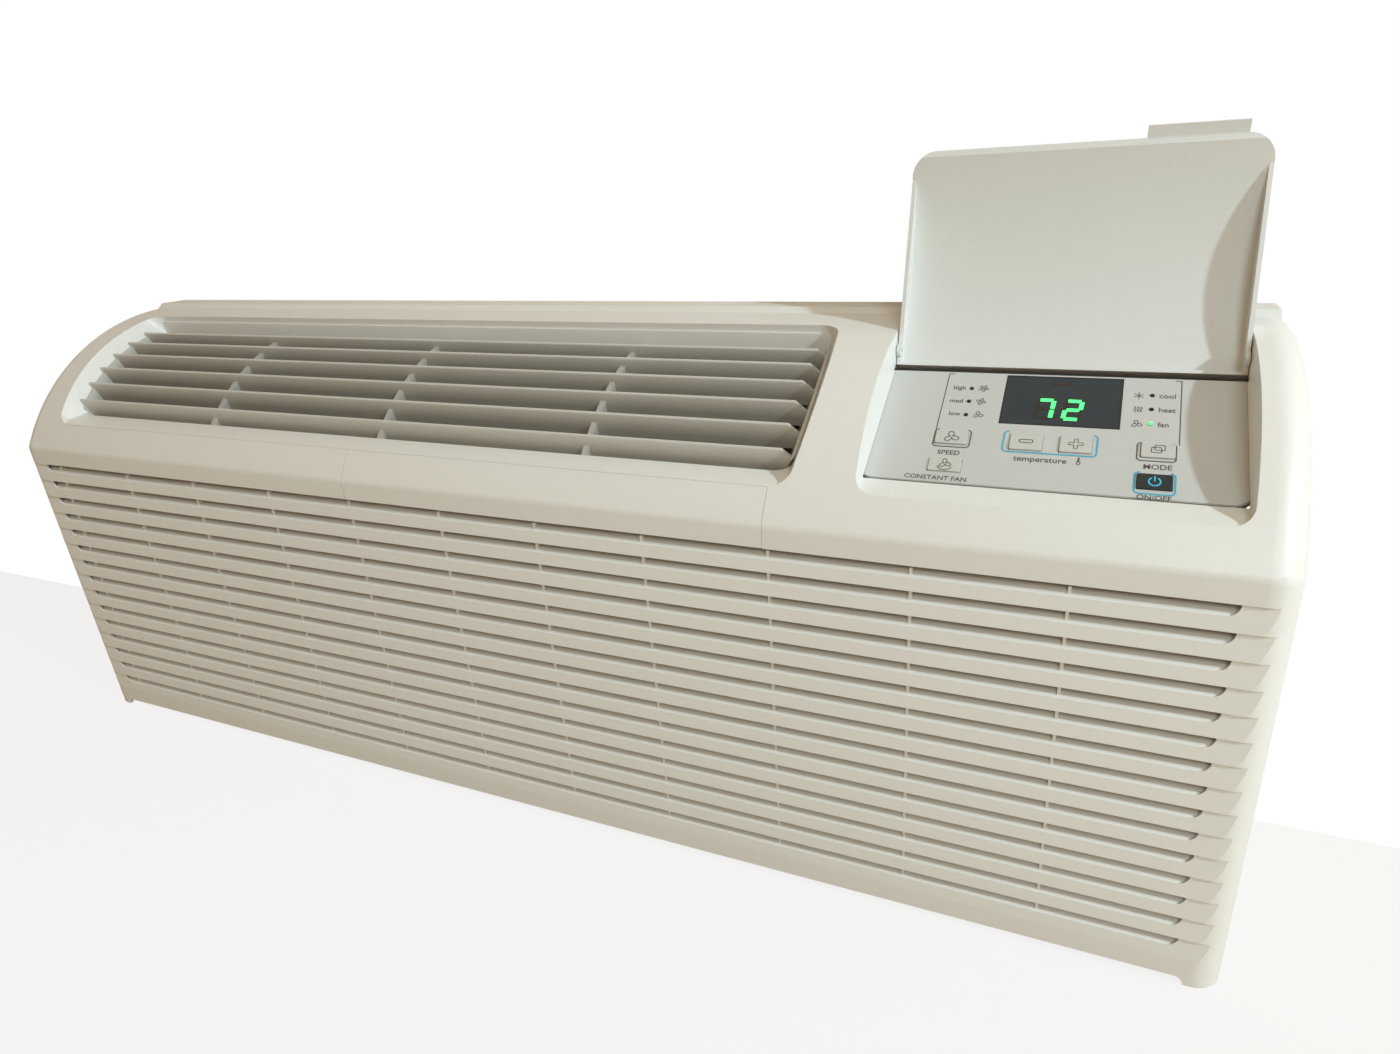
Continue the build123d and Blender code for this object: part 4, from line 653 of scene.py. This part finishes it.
def addDigits(d, text="72"):
    # each segment is a short band with a gap at both ends; the whole figure leans a little
    w, h, gap = d["wide"] - d["stroke"], d["height"] - d["stroke"], d["gap"]
    ends = {"a": ((0, h), (w, h)), "b": ((w, h), (w, h / 2)), "c": ((w, h / 2), (w, 0)),
            "d": ((0, 0), (w, 0)), "e": ((0, 0), (0, h / 2)), "f": ((0, h / 2), (0, h)),
            "g": ((0, h / 2), (w, h / 2))}
    lit, dark = [], []
    for left, figure in zip(d["left"], text):
        for key, (start, stop) in ends.items():
            a, b = np.array(start, float), np.array(stop, float)
            run = (b - a) / np.linalg.norm(b - a)
            bar, quads = band([a + run * gap, (a + b) / 2, b - run * gap], d["stroke"] * d["fullness"])
            bar = bar + [left + d["stroke"] / 2, d["foot"] + d["stroke"] / 2]
            bar[:, 0] += d["lean"] * (bar[:, 1] - d["foot"])
            (lit if key in segmentsLit[figure] else dark).append((bar, quads))
    addPrint("litDigits", lit, "litGreen")
    addPrint("unlitDigits", dark, "lampDark")
    starts = [d["signLeft"] + i * d["signStep"] for i in range(3)]
    small = [band([(x, d["signT"]), (x + d["signLong"], d["signT"])], d["signTall"]) for x in starts]
    addPrint("unlitSigns", small, "dimRed")
    addPrint("displayRim", [roundedFrame(*d["rim"])], "lampDark")


statusLamps = {"columns": (346.0, 454.0), "rows": (60.5, 73.0, 85.2), "radius": 1.25, "lift": 0.0003,
               "lit": 3}


def addLamps(c):
    tops = [disc((x, t), c["radius"]) for x in c["columns"] for t in c["rows"]]
    lit = tops.pop(c["lit"])
    addPrint("lampTops", tops, "lampDark", lift=c["lift"])
    addPrint("litLamp", [lit], "litGreen", lift=c["lift"])


addBrackets(brackets)
addIcons(icons)
addWords(words)
addDigits(digits)
addLamps(statusLamps)
print("panel printed")

# Sheet-metal screws of the chassis, six-sided heads with a flange
screws = {"head": 0.0040, "flange": 0.0052, "tall": 0.0030, "sides": 24, "acrossFlats": 0.92,
          "braceHalf": 0.48, "braceCount": 7, "braceInset": 0.010, "sideY": (0.075, 0.165),
          "sideZ": (0.05, 0.19, 0.34), "shroudX": 0.43, "shroudInset": 0.046, "shroudZ": (0.05, 0.34)}


def screwHead(place, axis, c):
    # a profile turned round the axis: flange ring, then a six-sided head; rows of quads close both ends
    radius = np.array([c["flange"], c["flange"], c["head"], c["head"], c["head"] * 0.8])
    rise = np.array([0.0, 0.22, 0.30, 0.86, 1.0]) * c["tall"]
    sides, rings = c["sides"], len(rise)
    a = np.linspace(0, 2 * np.pi, sides, endpoint=False)
    hexed = 1.0 / np.cos((a + np.pi / 6) % (np.pi / 3) - np.pi / 6)
    r = radius[:, None] * np.where(np.arange(rings)[:, None] >= 2, hexed[None] * c["acrossFlats"], 1.0)
    out = Vector(axis)
    first = out.orthogonal().normalized()
    second = out.cross(first)
    grid = (np.array(place) + (r * np.cos(a))[..., None] * np.array(first)
            + (r * np.sin(a))[..., None] * np.array(second) + rise[:, None, None] * np.array(out))
    i, j = np.meshgrid(np.arange(rings - 1), np.arange(sides), indexing="ij")
    k = (j + 1) % sides
    faces = np.stack([i * sides + j, i * sides + k, (i + 1) * sides + k, (i + 1) * sides + j], -1)
    n = np.arange(sides // 2 - 1)
    cap = np.column_stack([n, n + 1, sides - 2 - n, sides - 1 - n])
    return grid.reshape(-1, 3), np.vstack([faces.reshape(-1, 4), cap[:, ::-1], cap + (rings - 1) * sides])


def addScrews(c):
    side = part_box("bulkhead")[1].x
    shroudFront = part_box("fan_shroud")[0].y
    braceLow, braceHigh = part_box("top_brace")
    braceX = np.linspace(-c["braceHalf"], c["braceHalf"], c["braceCount"])
    spots = [((x, y, braceHigh.z), (0, 0, 1))
             for y in (braceLow.y + c["braceInset"], braceHigh.y - c["braceInset"]) for x in braceX]
    spots += [((hand * side, y, z), (hand, 0, 0)) for hand in (-1, 1) for y in c["sideY"] for z in c["sideZ"]]
    spots += [((hand * c["shroudX"], shroudFront + c["shroudInset"], z), (0, -1, 0))
              for hand in (-1, 1) for z in c["shroudZ"]]
    used, corners, faces = 0, [], []
    for place, axis in spots:
        grid, quads = screwHead(place, axis, c)
        corners.append(grid)
        faces.append(quads + used)
        used += len(grid)
    meshPiece("chassisScrews", np.vstack(corners), np.vstack(faces), "steel", "chassis", "steel")


addScrews(screws)
print("screws set")

# Stage: a pale floor, and the wall with the opening that the chassis goes through, seen only from the room
stage = {"floorSize": 6.0, "floorDrop": 0.0004, "wallY": 0.0008, "openHalf": 0.5185, "openTop": 0.3875,
         "wallColour": (0.80, 0.72, 0.62, 1), "floorColour": (0.62, 0.54, 0.44, 1), "floorSeen": 0.84}


def stagePlane(name, corners, material, faces=((0, 1, 2, 3),)):
    mesh = bpy.data.meshes.new(name)
    mesh.from_pydata(corners, [], list(faces))
    mesh.materials.append(material)
    plane = bpy.data.objects.new(name, mesh)
    bpy.context.scene.collection.objects.link(plane)


def paleMaterial(name, shade, seen, oneSided=False):
    # lit like matt paint, but mostly white where the camera sees it; a one-sided one is clear from its back
    material = bpy.data.materials.new(name)
    material.use_nodes = True
    tree = material.node_tree
    tree.nodes.clear()
    result = tree.nodes.new("ShaderNodeOutputMaterial")
    matt = tree.nodes.new("ShaderNodeBsdfDiffuse")
    matt.inputs["Color"].default_value = shade
    white = tree.nodes.new("ShaderNodeEmission")
    path = tree.nodes.new("ShaderNodeLightPath")
    blend = tree.nodes.new("ShaderNodeMixShader")
    amount = tree.nodes.new("ShaderNodeMath")
    amount.operation = "MULTIPLY"
    amount.inputs[1].default_value = seen
    tree.links.new(path.outputs["Is Camera Ray"], amount.inputs[0])
    tree.links.new(amount.outputs[0], blend.inputs[0])
    tree.links.new(matt.outputs[0], blend.inputs[1])
    tree.links.new(white.outputs[0], blend.inputs[2])
    last = blend
    if oneSided:
        back = tree.nodes.new("ShaderNodeNewGeometry")
        either = tree.nodes.new("ShaderNodeMath")
        either.operation = "MAXIMUM"
        clear = tree.nodes.new("ShaderNodeBsdfTransparent")
        last = tree.nodes.new("ShaderNodeMixShader")
        tree.links.new(back.outputs["Backfacing"], either.inputs[0])
        tree.links.new(path.outputs["Is Shadow Ray"], either.inputs[1])
        tree.links.new(either.outputs[0], last.inputs[0])
        tree.links.new(blend.outputs[0], last.inputs[1])
        tree.links.new(clear.outputs[0], last.inputs[2])
    tree.links.new(last.outputs[0], result.inputs["Surface"])
    return material


def addStage(s):
    h, z, w, top, y = s["floorSize"], -s["floorDrop"], s["openHalf"], s["openTop"], s["wallY"]
    corners = [(-h, y, z), (-w, y, z), (-w, y, top), (w, y, top), (w, y, z), (h, y, z), (h, y, h), (-h, y, h),
               (-h, y, top), (h, y, top)]
    stagePlane("roomWall", corners, paleMaterial("roomWall", s["wallColour"], 1.0, True),
               [(0, 1, 2, 8), (4, 5, 9, 3), (8, 2, 3, 9, 6, 7)])
    stagePlane("paleFloor", [(-h, -h, z), (h, -h, z), (h, h, z), (-h, h, z)],
               paleMaterial("paleFloor", s["floorColour"], s["floorSeen"]))


addStage(stage)

lamps = {
    "keyFromRight": {"place": (3.1, -1.05, 2.05), "size": 0.16, "watts": 74.0, "colour": (0.76, 0.92, 1.0)},
    "frontFill": {"place": (1.15, -1.85, 1.55), "size": 0.7, "watts": 12.5, "colour": (0.78, 0.94, 1.0)},
}
lampTarget = (0.05, -0.1, 0.22)
roomLight = {"tint": (1.0, 0.74, 0.44), "strength": 0.38}


def addStudioLamps(rows):
    for name, c in rows.items():
        data = bpy.data.lights.new(name, "AREA")
        data.size = c["size"]
        data.energy = c["watts"]
        data.color = c["colour"]
        lamp = bpy.data.objects.new(name, data)
        bpy.context.scene.collection.objects.link(lamp)
        lamp.location = c["place"]
        aim = Vector(lampTarget) - Vector(c["place"])
        lamp.rotation_euler = aim.to_track_quat("-Z", "Y").to_euler()


def addWorld(c):
    # the room's warm light on the object, and plain white where the camera looks past it
    world = bpy.data.worlds.new("studio")
    bpy.context.scene.world = world
    world.use_nodes = True
    tree = world.node_tree
    tree.nodes.clear()
    result = tree.nodes.new("ShaderNodeOutputWorld")
    path = tree.nodes.new("ShaderNodeLightPath")
    room = tree.nodes.new("ShaderNodeBackground")
    room.inputs["Color"].default_value = (*c["tint"], 1)
    room.inputs["Strength"].default_value = c["strength"]
    seen = tree.nodes.new("ShaderNodeBackground")
    seen.inputs["Color"].default_value = (1, 1, 1, 1)
    blend = tree.nodes.new("ShaderNodeMixShader")
    tree.links.new(path.outputs["Is Camera Ray"], blend.inputs[0])
    tree.links.new(room.outputs[0], blend.inputs[1])
    tree.links.new(seen.outputs[0], blend.inputs[2])
    tree.links.new(blend.outputs[0], result.inputs["Surface"])


addStudioLamps(lamps)
addWorld(roomLight)
bpy.context.scene.view_settings.view_transform = "Standard"
print("stage and lamps set")
